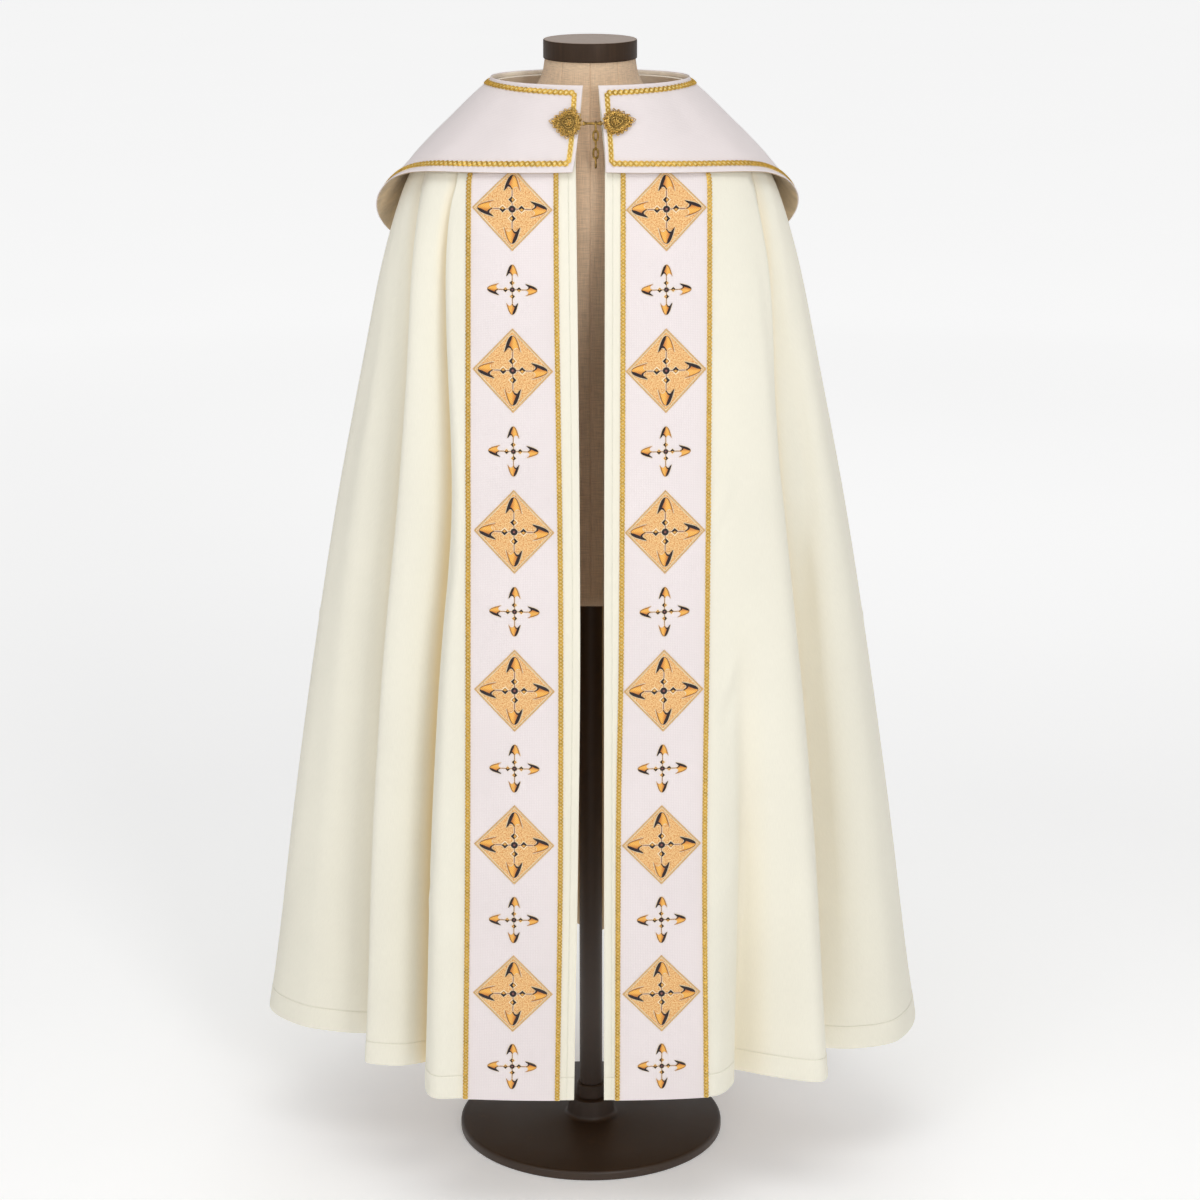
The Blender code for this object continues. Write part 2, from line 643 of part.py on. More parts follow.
def make_form(parent):
    rings = [ring_points(FORM_SECTIONS, row.height, FORM_SIDES) for row in FORM_SECTIONS]
    torso = add_object("form_torso", loft("form_torso", rings), "linen", parent)
    torso.location.y = FORM_Y

    top = CAP_BOTTOM + CAP_HEIGHT
    cap_profile = (
        (CAP_RADIUS - CAP_EDGE, CAP_BOTTOM),
        (CAP_RADIUS, CAP_BOTTOM + CAP_EDGE),
        (CAP_RADIUS, top - CAP_EDGE),
        (CAP_RADIUS - CAP_EDGE, top),
    )
    cap = add_object("neck_cap", turned("neck_cap", cap_profile), "brown_lacquer", parent)
    cap.location.y = FORM_Y

    pole_top = FORM_SECTIONS[0].height - SEAM_GAP
    pole_foot = HUB_HEIGHT + SEAM_GAP
    pole_profile = ((POLE_RADIUS, pole_foot), (POLE_RADIUS, pole_top))
    pole = add_object("stand_pole", turned("stand_pole", pole_profile, 24), "brown_lacquer", parent)
    pole.location.y = FORM_Y

    base_profile = (
        (BASE_RADIUS - BASE_FOOT_EDGE, 0.0),
        (BASE_RADIUS, BASE_FOOT_EDGE),
        (BASE_RADIUS, BASE_HEIGHT - BASE_RIM_EDGE),
        (BASE_RADIUS - BASE_RIM_EDGE, BASE_HEIGHT),
        (HUB_RADIUS + HUB_SPREAD, BASE_HEIGHT + HUB_FILLET[0]),
        (HUB_RADIUS, BASE_HEIGHT + HUB_FILLET[1]),
        (HUB_RADIUS - HUB_TAPER, HUB_HEIGHT),
    )
    base = add_object("stand_base", turned("stand_base", base_profile), "brown_lacquer", parent)
    base.location.y = FORM_Y


# ------------------------------------------------------------------- the clasp

def collar_at(x, height):
    """Across and down of the collar's front at a distance and a height."""
    down = (COLLAR_NECK_Z - height) / (COLLAR_NECK_Z - COLLAR_EDGE[0].height)
    low = 0.0
    high = 0.5
    if x > 0.0:
        low = 0.5
        high = 1.0
    for _ in range(30):
        middle = (low + high) / 2.0
        # x falls from the left edge to the left shoulder, and likewise on the right
        if collar_point(middle, down).x > x:
            low = middle
        else:
            high = middle
    return (low + high) / 2.0, down


def plate_frame(plate):
    """Placement of a plate: +X away from the opening, +Z out of the collar."""
    across, down = collar_at(plate.x, plate.height)
    step = 0.01
    centre = collar_point(across, down)
    fall = collar_point(across, down + step) - collar_point(across, down - step)
    along = collar_point(across + step, down) - collar_point(across - step, down)
    outside = along.cross(fall).normalized()
    if outside.y > 0.0:
        outside.negate()
    up = (-fall - outside * (-fall).dot(outside)).normalized()
    right = up.cross(outside).normalized()
    matrix = Matrix((right, up, outside)).transposed().to_4x4()
    matrix.translation = centre + outside * PLATE_LIFT
    return matrix


def plate_outline(plate, angle):
    """Distance from a plate's middle to its scalloped rim; the tip points outward."""
    scallop = 1.0 - PLATE_LOBE_DEPTH * (1.0 - abs(math.cos(PLATE_LOBES * angle / 2.0)))
    across = math.cos(angle) / plate.half_width
    up = math.sin(angle) / plate.half_height
    radius = scallop / math.hypot(across, up)
    away = 1.0 if plate.x > 0.0 else -1.0
    aim = max(0.0, away * math.cos(angle))
    return radius + PLATE_TIP * aim ** PLATE_TIP_POWER


def make_plate(plate, parent):
    """A cast plate: a scalloped rim, a sunk ring and a raised boss."""
    rings = []
    for level in PLATE_LEVELS:
        ring = []
        for i in range(PLATE_SIDES):
            angle = 2.0 * math.pi * i / PLATE_SIDES
            radius = level.share * plate_outline(plate, angle)
            rise = level.rise * PLATE_THICKNESS
            ring.append(Vector((radius * math.cos(angle), radius * math.sin(angle), rise)))
        rings.append(ring)
    thing = add_object(plate.name, loft(plate.name, rings), "antique_brass", parent)
    thing.matrix_local = plate_frame(plate)


def wire_ring(name, points, parent, closed=True):
    """A brass wire through points, as a bevelled curve."""
    curve = bpy.data.curves.new(name, "CURVE")
    curve.dimensions = "3D"
    curve.bevel_depth = WIRE_RADIUS
    curve.bevel_resolution = 1
    curve.use_fill_caps = True
    spline = curve.splines.new("POLY")
    spline.points.add(len(points) - 1)
    for slot, point in zip(spline.points, points):
        slot.co = (*point, 1.0)
    spline.use_cyclic_u = closed
    return add_object(name, curve, "antique_brass", parent)


def oval(length, width, steps=5):
    """Points of a link's wire: two half circles joined by straight sides."""
    radius = width / 2.0 - WIRE_RADIUS
    reach = length / 2.0 - WIRE_RADIUS - radius
    points = []
    for end in (1.0, -1.0):
        for i in range(steps + 1):
            angle = math.pi * i / steps
            points.append((end * radius * math.cos(angle), end * (reach + radius * math.sin(angle))))
    return points


def make_clasp(parent):
    """Two plates, a hook bar that joins them through an eye, and a hanging chain."""
    for plate in PLATES:
        make_plate(plate, parent)
    left, right = [plate_frame(plate) for plate in PLATES]
    level = PLATE_LEVELS[1].rise * PLATE_THICKNESS
    left_rim = left @ Vector((plate_outline(PLATES[0], 0.0), 0.0, level))
    right_rim = right @ Vector((-plate_outline(PLATES[1], math.pi), 0.0, level))
    way = (right_rim - left_rim).normalized()
    bar_start = left_rim + way * WIRE_GAP
    bar_end = right_rim - way * WIRE_GAP
    bar = [bar_start.lerp(bar_end, i / 4.0) for i in range(5)]
    wire_ring("clasp_hook", bar, parent, closed=False)

    eye_centre = bar_end - way * (WIRE_RADIUS + WIRE_GAP)
    eye = []
    for i in range(12):
        angle = 2.0 * math.pi * i / 12
        eye.append(eye_centre + Vector((0.0, EYE_RADIUS * math.cos(angle), EYE_RADIUS * math.sin(angle))))
    wire_ring("clasp_eye", eye, parent)

    share = (CHAIN_X - bar_start.x) / (bar_end.x - bar_start.x)
    hang = bar_start.lerp(bar_end, share)
    reach = LINK_LENGTH / 2.0 - WIRE_RADIUS
    touch = 2.0 * WIRE_RADIUS + WIRE_GAP
    centre = hang.z + touch - reach
    for number in range(LINK_COUNT):
        points = []
        for across, up in oval(LINK_LENGTH, LINK_WIDTH):
            if number % 2 == 0:
                offset = Vector((0.0, across, up))
            else:
                offset = Vector((across, 0.0, up))
            points.append(Vector((hang.x, hang.y, centre)) + offset)
        wire_ring("chain_link_%d" % (number + 1), points, parent)
        centre -= 2.0 * reach - touch


# ------------------------------------------------------------------------ build

def stand_on_origin(empty):
    """Moves the whole object so that the origin lies under the middle of its box."""
    bpy.context.view_layer.update()
    depsgraph = bpy.context.evaluated_depsgraph_get()
    low = Vector((1e9, 1e9, 1e9))
    high = -low
    for thing in empty.children:
        mesh_data = thing.evaluated_get(depsgraph).to_mesh()
        for vertex in mesh_data.vertices:
            point = thing.matrix_world @ vertex.co
            low = Vector(map(min, low, point))
            high = Vector(map(max, high, point))
    empty.location.x = -(low.x + high.x) / 2.0
    empty.location.y = -(low.y + high.y) / 2.0
    empty.location.z = -low.z


def main():
    clear_scene()
    stand = bpy.data.objects.new("cope_on_form", None)
    bpy.context.scene.collection.objects.link(stand)
    make_form(stand)
    make_cope(stand)
    make_orphreys(stand)
    make_collar(stand)
    make_clasp(stand)
    stand_on_origin(stand)


main()
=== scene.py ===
"""Looks of a cope on its dress form, laid out as a Blender add-on and run as a script.

Everything is in metres, +Z up, and the wearer's front faces -Y.  A bearing is an
angle in plan, in degrees: 0 points to the front, 90 to -X, 180 to the back and
270 to +X.  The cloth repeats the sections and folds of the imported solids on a
finer grid, and adds soft creases, hems, stitches, braid and embroidery.
"""
import functools
import math
from collections import namedtuple

import bpy
import numpy as np
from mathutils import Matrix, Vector


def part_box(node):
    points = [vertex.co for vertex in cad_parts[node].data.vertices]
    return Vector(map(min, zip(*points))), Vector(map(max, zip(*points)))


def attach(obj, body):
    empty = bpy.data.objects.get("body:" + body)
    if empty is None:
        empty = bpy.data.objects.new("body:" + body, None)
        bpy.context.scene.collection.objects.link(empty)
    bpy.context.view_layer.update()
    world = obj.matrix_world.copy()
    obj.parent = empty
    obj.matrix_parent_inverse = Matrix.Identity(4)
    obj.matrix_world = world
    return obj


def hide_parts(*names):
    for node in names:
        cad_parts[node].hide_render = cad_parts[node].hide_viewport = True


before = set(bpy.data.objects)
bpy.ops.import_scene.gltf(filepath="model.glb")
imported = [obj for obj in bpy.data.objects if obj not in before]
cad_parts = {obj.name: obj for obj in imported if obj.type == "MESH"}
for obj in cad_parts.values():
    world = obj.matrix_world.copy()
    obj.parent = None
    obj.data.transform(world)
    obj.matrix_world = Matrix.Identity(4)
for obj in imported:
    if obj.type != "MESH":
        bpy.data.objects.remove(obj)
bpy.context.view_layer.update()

bl_info = {
    "name": "Cope on a dress form",
    "version": (1, 0, 0),
    "blender": (4, 5, 0),
    "location": "3D View > Sidebar > Vestment",
    "description": "Makes the cloth, braid, embroidery, clasp and form of a cope",
    "category": "Object",
}

# --- sizes shared with the solids ---

HEM_Z = 0.177
NECK_Z = 1.4775
COLLAR_NECK_Z = 1.4825
CLOTH = 0.0020
BAND_CLOTH = 0.0010
BRAID_WIDTH = 0.0070
COLLAR_CLOTH = 0.0016
LINING_CLOTH = 0.0010
SEAM_GAP = 0.0003
FLAT_MARGIN = 0.0060
CORNER_SHARE = 0.5
COLLAR_BRAID_INSET = 0.0120
COLLAR_SHIFT_X = -0.003
FORM_Y = -0.006


def rows(kind, *table):
    return tuple(kind(*row) for row in table)


# A section at a height: half its width, its depth before and behind the middle, and how
# square it is, 2 being an ellipse.
Section = namedtuple("Section", "height half_width front back square")
COPE_SECTIONS = rows(
    Section,
    (1.4775, 0.1275, 0.0960, 0.0860, 2.0),
    (1.4300, 0.1755, 0.1215, 0.1060, 2.1),
    (1.4000, 0.2060, 0.1365, 0.1170, 2.2),
    (1.3750, 0.2270, 0.1475, 0.1250, 2.3),
    (1.3450, 0.2430, 0.1600, 0.1330, 2.35),
    (1.3100, 0.2560, 0.1715, 0.1420, 2.4),
    (1.2370, 0.2770, 0.1935, 0.1600, 2.4),
    (1.1150, 0.3030, 0.2240, 0.1860, 2.4),
    (0.9075, 0.3450, 0.2630, 0.2240, 2.4),
    (0.6940, 0.3810, 0.2915, 0.2600, 2.4),
    (0.4750, 0.4140, 0.3050, 0.2900, 2.4),
    (0.2500, 0.4450, 0.3100, 0.3130, 2.4),
    (0.1770, 0.4570, 0.3120, 0.3200, 2.4),
)
# A fold line: its bearing at the top, half way and at the hem, how far it reaches out at the
# hem, the level it starts from, and how fast it grows below that.
Fold = namedtuple("Fold", "name top mid hem reach start power")
FOLDS = rows(
    Fold,
    ("left_front_corner", 53.5, 34.3, 33.2, 0.368, 1.20, 1.2),
    ("left_front_return", 55.3, 39.0, 41.0, 0.337, 1.34, 0.8),
    ("left_front_valley", 57.5, 44.5, 47.2, 0.262, 1.40, 0.6),
    ("left_arm_rise", 60.5, 49.5, 51.6, 0.327, 1.38, 0.6),
    ("left_arm_ridge", 66.0, 56.5, 57.5, 0.360, 1.36, 0.8),
    ("left_side_valley", 77.0, 67.5, 67.5, 0.262, 1.40, 0.6),
    ("left_side_rise", 84.0, 75.0, 75.3, 0.358, 1.38, 0.7),
    ("left_side_shoulder", 88.0, 80.5, 80.5, 0.411, 1.38, 0.8),
    ("left_side_ridge", 95.0, 91.0, 91.0, 0.455, 1.36, 1.0),
    ("left_rear_valley_1", 106.0, 105.0, 104.0, 0.330, 1.32, 0.7),
    ("left_rear_ridge_1", 118.0, 118.0, 117.0, 0.424, 1.30, 1.0),
    ("left_rear_valley_2", 130.0, 130.0, 131.0, 0.275, 1.30, 0.7),
    ("left_rear_ridge_2", 145.0, 144.0, 145.0, 0.402, 1.26, 1.0),
    ("left_back_valley", 158.0, 157.0, 158.0, 0.258, 1.24, 0.8),
    ("left_back_ridge", 169.0, 169.0, 170.5, 0.352, 1.20, 1.0),
    ("centre_back", 180.0, 181.0, 181.5, 0.285, 1.20, 1.0),
    ("right_back_ridge", 192.0, 194.0, 193.0, 0.360, 1.22, 1.0),
    ("right_back_valley", 204.0, 206.0, 206.0, 0.262, 1.26, 0.8),
    ("right_rear_ridge_2", 218.0, 219.0, 219.5, 0.398, 1.28, 1.0),
    ("right_rear_valley_2", 232.0, 233.0, 233.0, 0.272, 1.30, 0.7),
    ("right_rear_ridge_1", 245.0, 246.0, 246.0, 0.418, 1.32, 1.0),
    ("right_rear_valley_1", 256.0, 258.0, 258.5, 0.335, 1.32, 0.7),
    ("right_side_ridge", 266.0, 271.0, 272.0, 0.457, 1.36, 1.0),
    ("right_side_shoulder", 275.0, 284.0, 285.5, 0.441, 1.38, 0.8),
    ("right_side_rise", 281.0, 291.0, 292.5, 0.385, 1.38, 0.7),
    ("right_side_valley", 287.0, 298.0, 298.5, 0.268, 1.40, 0.6),
    ("right_arm_turn", 294.5, 307.0, 305.5, 0.392, 1.36, 0.8),
    ("right_arm_ridge", 299.0, 311.5, 309.5, 0.401, 1.34, 1.0),
    ("right_arm_rise", 302.5, 317.5, 314.2, 0.343, 0.85, 1.3),
    ("right_front_notch", 304.5, 322.0, 318.5, 0.287, 0.85, 1.3),
    ("right_front_return", 306.5, 325.5, 323.5, 0.322, 0.85, 1.3),
)
SEAMS = ("left_side_valley", "centre_back", "right_side_valley")
FOLD_MID_Z = 0.90
FOLD_TOP_Z = 1.36
# Folds flatten near the shoulders: from this drop below a level up to the level itself,
# where this share of their depth is left.
FOLD_EASE_TOP_Z = 1.385
FOLD_EASE_DROP = 0.20
FOLD_EASE_LEFT = 0.42

# Distances from the middle, at a height, of a front edge and of its orphrey's two braids.
FrontLine = namedtuple(
    "FrontLine", "height left_edge left_inner left_outer right_edge right_inner right_outer")
FRONT_LINES = rows(
    FrontLine,
    (1.4775, 0.0095, 0.0280, 0.0800, 0.0110, 0.0280, 0.0790),
    (1.4300, 0.0140, 0.0400, 0.1200, 0.0150, 0.0400, 0.1190),
    (1.3920, 0.0180, 0.0428, 0.1460, 0.0190, 0.0420, 0.1450),
    (1.3600, 0.0175, 0.0428, 0.1535, 0.0190, 0.0420, 0.1515),
    (0.8000, 0.0125, 0.0372, 0.1545, 0.0180, 0.0400, 0.1495),
    (0.5500, 0.0150, 0.0380, 0.1560, 0.0180, 0.0365, 0.1480),
    (0.1770, 0.0215, 0.0436, 0.1615, 0.0180, 0.0356, 0.1530),
)
BAND_TOP_Z = 1.392

# The collar's lower edge: its height and how far it stands off, over half the way round.
CollarEdge = namedtuple("CollarEdge", "bearing height flare")
COLLAR_EDGE = rows(
    CollarEdge,
    (0.0, 1.3785, 0.0090),
    (52.0, 1.3735, 0.0090),
    (74.0, 1.3635, 0.0120),
    (83.0, 1.3460, 0.0215),
    (92.0, 1.3200, 0.0270),
    (100.0, 1.2920, 0.0250),
    (110.0, 1.2570, 0.0200),
    (125.0, 1.218, 0.0130),
    (150.0, 1.172, 0.0120),
    (180.0, 1.152, 0.0120),
)
LEFT_WING_SAG = 0.007    # the left wing hangs a little lower than the right
LEFT_WING_BEARING = 103.0
LEFT_WING_SPREAD = 17.0
COLLAR_FRONT_TOP = (0.0088, 0.0103)
COLLAR_FRONT_FOOT = (0.0188, 0.0225)
COLLAR_NECK_STAND = 0.0034
COLLAR_STAND = 0.0070
COLLAR_FLARE_POWER = 5.0

FORM_SECTIONS = rows(
    Section,
    (0.795, 0.1400, 0.0950, 0.0950, 2.2),
    (0.805, 0.1500, 0.1050, 0.1050, 2.2),
    (0.870, 0.1660, 0.1180, 0.1200, 2.2),
    (0.950, 0.1620, 0.1160, 0.1150, 2.2),
    (1.070, 0.1420, 0.1030, 0.0940, 2.2),
    (1.190, 0.1600, 0.1180, 0.1020, 2.2),
    (1.290, 0.1800, 0.1240, 0.1100, 2.2),
    (1.345, 0.1980, 0.1160, 0.1110, 2.2),
    (1.375, 0.2070, 0.1060, 0.1060, 2.2),
    (1.393, 0.2068, 0.0960, 0.0980, 2.2),
    (1.405, 0.1935, 0.0900, 0.0930, 2.2),
    (1.422, 0.1610, 0.0830, 0.0870, 2.1),
    (1.440, 0.1220, 0.0740, 0.0780, 2.0),
    (1.455, 0.0900, 0.0670, 0.0700, 2.0),
    (1.472, 0.0710, 0.0620, 0.0640, 2.0),
    (1.490, 0.0620, 0.0590, 0.0600, 2.0),
    (1.508, 0.0590, 0.0580, 0.0580, 2.0),
)

Plate = namedtuple("Plate", "name x height half_width half_height")
PLATES = rows(
    Plate,
    ("clasp_plate_left", -0.0265, 1.4355, 0.0172, 0.0215),
    ("clasp_plate_right", 0.0325, 1.4365, 0.0175, 0.0185),
)
PLATE_LIFT = 0.0024
PLATE_TIP = 0.0085
LINK_COUNT = 5

# --- soft creases ---

# A crease runs straight from (bearing, height) to (bearing, height) over the main
# cloth.  Width is how far its sides spread, and depth is out of the cloth, or into
# it where it is below 0.  Bearings count as metres at CREASE_RADIUS.
Crease = namedtuple("Crease", "from_bearing from_height to_bearing to_height width depth")
CREASES = rows(
    Crease,
    (287.5, 1.16, 294.3, 0.74, 0.013, -0.0100),
    (294.0, 0.92, 294.8, 0.20, 0.015, -0.0200),
    (70.5, 1.02, 67.4, 0.20, 0.013, -0.0060),
    (46.0, 0.80, 47.2, 0.20, 0.013, -0.0050),
    (33.0, 0.50, 38.5, 0.43, 0.010, 0.0022),
    (35.0, 0.47, 40.0, 0.455, 0.008, -0.0018),
    (32.5, 0.40, 36.5, 0.36, 0.012, 0.0016),
    (31.5, 0.98, 38.0, 0.84, 0.014, -0.0016),
    (62.0, 1.20, 60.5, 0.55, 0.013, -0.0022),
    (71.0, 1.05, 70.5, 0.25, 0.012, 0.0020),
    (84.0, 1.28, 85.5, 0.62, 0.018, -0.0030),
    (86.5, 0.90, 86.0, 0.20, 0.016, 0.0022),
    (83.0, 0.42, 88.5, 0.30, 0.011, -0.0018),
    (80.0, 0.765, 99.0, 0.752, 0.005, 0.0009),
    (96.0, 1.15, 98.0, 0.40, 0.018, -0.0026),
    (111.5, 1.18, 112.5, 0.35, 0.016, 0.0030),
    (108.0, 0.764, 124.0, 0.757, 0.005, 0.0009),
    (124.0, 1.10, 123.0, 0.62, 0.016, -0.0030),
    (137.5, 1.12, 138.5, 0.28, 0.017, 0.0026),
    (140.0, 0.760, 151.0, 0.755, 0.005, 0.0008),
    (151.0, 1.08, 150.0, 0.50, 0.015, -0.0028),
    (163.5, 1.10, 164.5, 0.30, 0.014, 0.0022),
    (175.0, 1.05, 176.0, 0.45, 0.016, -0.0022),
    (187.0, 1.08, 186.0, 0.36, 0.015, 0.0020),
    (199.5, 1.12, 200.5, 0.58, 0.015, -0.0026),
    (210.0, 1.06, 211.5, 0.26, 0.016, 0.0028),
    (213.0, 0.761, 224.0, 0.756, 0.005, 0.0008),
    (225.5, 1.14, 226.0, 0.52, 0.016, -0.0028),
    (239.0, 1.10, 240.0, 0.30, 0.017, 0.0026),
    (238.0, 0.757, 252.0, 0.763, 0.005, 0.0009),
    (251.5, 1.16, 252.5, 0.48, 0.017, -0.0028),
    (264.0, 1.20, 265.5, 0.50, 0.018, 0.0026),
    (262.0, 0.763, 281.0, 0.752, 0.005, 0.0009),
    (275.0, 1.22, 278.5, 0.55, 0.020, -0.0030),
    (281.0, 0.95, 281.5, 0.22, 0.018, 0.0022),
    (283.5, 0.40, 277.5, 0.29, 0.012, -0.0016),
    (296.0, 1.30, 303.0, 1.02, 0.013, 0.0034),
    (299.0, 1.28, 306.0, 0.96, 0.013, -0.0030),
    (303.5, 1.10, 309.5, 0.78, 0.014, 0.0024),
    (321.0, 1.00, 326.5, 0.93, 0.010, 0.0032),
    (322.5, 0.97, 327.0, 0.91, 0.008, -0.0026),
    (321.5, 0.79, 327.5, 0.71, 0.011, 0.0034),
    (323.0, 0.76, 327.5, 0.68, 0.009, -0.0030),
    (325.0, 0.52, 328.0, 0.44, 0.012, 0.0026),
    (349.0, 1.02, 345.0, 0.97, 0.012, -0.0008),
    (14.0, 0.66, 20.0, 0.62, 0.014, 0.0008),
    (16.0, 1.16, 22.0, 1.12, 0.016, -0.0007),
)
CREASE_RADIUS = 0.30
HEM_TURN = 0.032         # depth of the turned-up hem
EDGE_STITCH = 0.010      # topstitching, from the front edge

# --- numbers ---

made_once = functools.lru_cache(maxsize=None)


def chosen_sizes():
    """The sizes set in the panel."""
    return bpy.context.scene.vestment_sizes


def travelled(points):
    """How far each point lies along a line of points."""
    steps = np.linalg.norm(np.diff(points, axis=0), axis=1)
    return np.concatenate([[0.0], np.cumsum(steps)])


def lengths(points):
    return np.linalg.norm(np.diff(points, axis=0), axis=1).sum()


def turns(count):
    """Angles evenly round a circle."""
    return np.linspace(0.0, 2.0 * np.pi, count, endpoint=False)


def spots(*parts):
    """Points from their co-ordinates, each a number or a grid."""
    return np.stack(np.broadcast_arrays(*parts), axis=-1)


def sine(values, period):
    return np.sin(2.0 * np.pi * np.asarray(values) / period)


def unit(vectors):
    return vectors / np.maximum(np.linalg.norm(vectors, axis=-1, keepdims=True), 1e-12)


class Curve:
    """Smooth curve through rising xs that never overshoots a row of its table."""

    def __init__(self, xs, ys):
        self.xs = np.asarray(xs, float)
        self.ys = np.asarray(ys, float)
        self.steps = np.diff(self.xs)
        slopes = np.diff(self.ys) / self.steps
        before = 2.0 * self.steps[1:] + self.steps[:-1]
        after = self.steps[1:] + 2.0 * self.steps[:-1]
        same = slopes[1:] * slopes[:-1] > 0.0
        low = np.where(same, slopes[:-1], 1.0)
        high = np.where(same, slopes[1:], 1.0)
        inner = np.where(same, (before + after) / (before / low + after / high), 0.0)
        self.tangents = np.concatenate([slopes[:1], inner, slopes[-1:]])

    def __call__(self, x):
        x = np.clip(np.asarray(x, float), self.xs[0], self.xs[-1])
        cell = np.clip(np.searchsorted(self.xs, x, side="right") - 1, 0, len(self.steps) - 1)
        width = self.steps[cell]
        t = (x - self.xs[cell]) / width
        rise = t * t * (3.0 - 2.0 * t)
        leave = t * (1.0 - t) ** 2 * width
        arrive = -t * t * (1.0 - t) * width
        return (self.ys[cell] * (1.0 - rise) + self.ys[cell + 1] * rise
                + leave * self.tangents[cell] + arrive * self.tangents[cell + 1])


@made_once
def table_curve(table, name, over):
    """A table's named column as a curve over another of its columns."""
    ordered = sorted(table, key=lambda row: getattr(row, over))
    return Curve([getattr(row, over) for row in ordered], [getattr(row, name) for row in ordered])


def at(table, name, height):
    return table_curve(table, name, "height")(height)


# --- the cloth's surface ---


def plain_radius(bearing, height, table=COPE_SECTIONS):
    """Radius of the section without folds."""
    angle = np.radians(bearing)
    power = at(table, "square", height)
    depth = np.where(np.cos(angle) > 0.0, at(table, "front", height), at(table, "back", height))
    across = np.abs(np.sin(angle)) / at(table, "half_width", height)
    along = np.abs(np.cos(angle)) / depth
    return (across ** power + along ** power) ** (-1.0 / power)


def front_bearing(distance, height):
    """Bearing, from the front, of a point this far from the middle."""
    power = at(COPE_SECTIONS, "square", height)
    share = distance / at(COPE_SECTIONS, "half_width", height)
    depth = at(COPE_SECTIONS, "front", height) * (1.0 - share ** power) ** (1.0 / power)
    return np.degrees(np.arctan2(distance, depth))


def front_line(side, line, height):
    """Distance from the middle of one line of a front."""
    return at(FRONT_LINES, "%s_%s" % (side, line), height)


def flat_end(side, height):
    """Bearing, from the front, of the end of a flat front, just past its orphrey."""
    return front_bearing(front_line(side, "outer", height) + FLAT_MARGIN, height)


@made_once
def fold_bearing(fold, height):
    """Bearing of a fold line; above FOLD_TOP_Z it keeps its share of the way round."""
    if height <= FOLD_TOP_Z:
        line = Curve((HEM_Z, FOLD_MID_Z, FOLD_TOP_Z), (fold.hem, fold.mid, fold.top))
        return float(line(height))
    low = flat_end("left", FOLD_TOP_Z)
    high = 360.0 - flat_end("right", FOLD_TOP_Z)
    start = flat_end("left", height)
    end = 360.0 - flat_end("right", height)
    return float(start + (end - start) * (fold.top - low) / (high - low))


def fold_depth(fold, height):
    full = fold.reach - plain_radius(fold.hem, HEM_Z)
    grown = max(0.0, (fold.start - height) / (fold.start - HEM_Z))
    under = min(max((FOLD_EASE_TOP_Z - height) / FOLD_EASE_DROP, 0.0), 1.0)
    eased = FOLD_EASE_LEFT + (1.0 - FOLD_EASE_LEFT) * under * under * (3.0 - 2.0 * under)
    return float(full * grown ** fold.power * eased)


@made_once
def fold_curve(height):
    """Depth of the folds over the bearing, from one front edge round to the other."""
    left_edge = front_bearing(front_line("left", "edge", height), height)
    right_edge = front_bearing(front_line("right", "edge", height), height)
    bearings = [left_edge, flat_end("left", height)]
    depths = [0.0, CORNER_SHARE * fold_depth(FOLDS[0], height)]
    bearings += [fold_bearing(fold, height) for fold in FOLDS]
    depths += [fold_depth(fold, height) for fold in FOLDS]
    bearings += [360.0 - flat_end("right", height), 360.0 - right_edge]
    depths += [0.0, 0.0]
    return Curve(bearings, depths)


def on_section(bearing, radius, height):
    angle = np.radians(bearing)
    return spots(-radius * np.sin(angle), -radius * np.cos(angle), height)


def folded_row(bearings, height):
    return on_section(bearings, plain_radius(bearings, height) + fold_curve(height)(bearings), height)


def crease_depth(bearings, height):
    """How far the creases lift the cloth along one level."""
    depth = np.zeros(np.shape(bearings))
    metre = math.radians(1.0) * CREASE_RADIUS
    strength = chosen_sizes().crease_strength
    for crease in CREASES:
        reach = 3.0 * crease.width
        low, high = sorted((crease.from_height, crease.to_height))
        if not low - reach < height < high + reach:
            continue
        run = (crease.to_bearing - crease.from_bearing) * metre
        fall = crease.to_height - crease.from_height
        away = (bearings - crease.from_bearing) * metre
        drop = height - crease.from_height
        share = np.clip((away * run + drop * fall) / (run * run + fall * fall), 0.0, 1.0)
        distance = np.hypot(away - share * run, drop - share * fall)
        swell = np.sin(np.pi * np.clip(share, 0.02, 0.98)) ** 0.6
        depth += crease.depth * strength * swell * np.exp(-(distance / crease.width) ** 2)
    return depth


NORMAL_STEP = 0.002      # a normal is measured this far up and down the cloth,
NORMAL_TURN = 0.15       # and this many degrees to each side


def cloth_row(bearings, height):
    """Points and outward normals of the main cloth's face along one level."""
    height = float(round(height, 6))
    low = round(max(height - NORMAL_STEP, HEM_Z), 6)
    high = round(min(height + NORMAL_STEP, NECK_Z), 6)
    around = folded_row(bearings + NORMAL_TURN, height) - folded_row(bearings - NORMAL_TURN, height)
    up = folded_row(bearings, high) - folded_row(bearings, low)
    normals = unit(np.cross(up, around))
    points = folded_row(bearings, height) + normals * crease_depth(bearings, height)[:, None]
    return points, normals


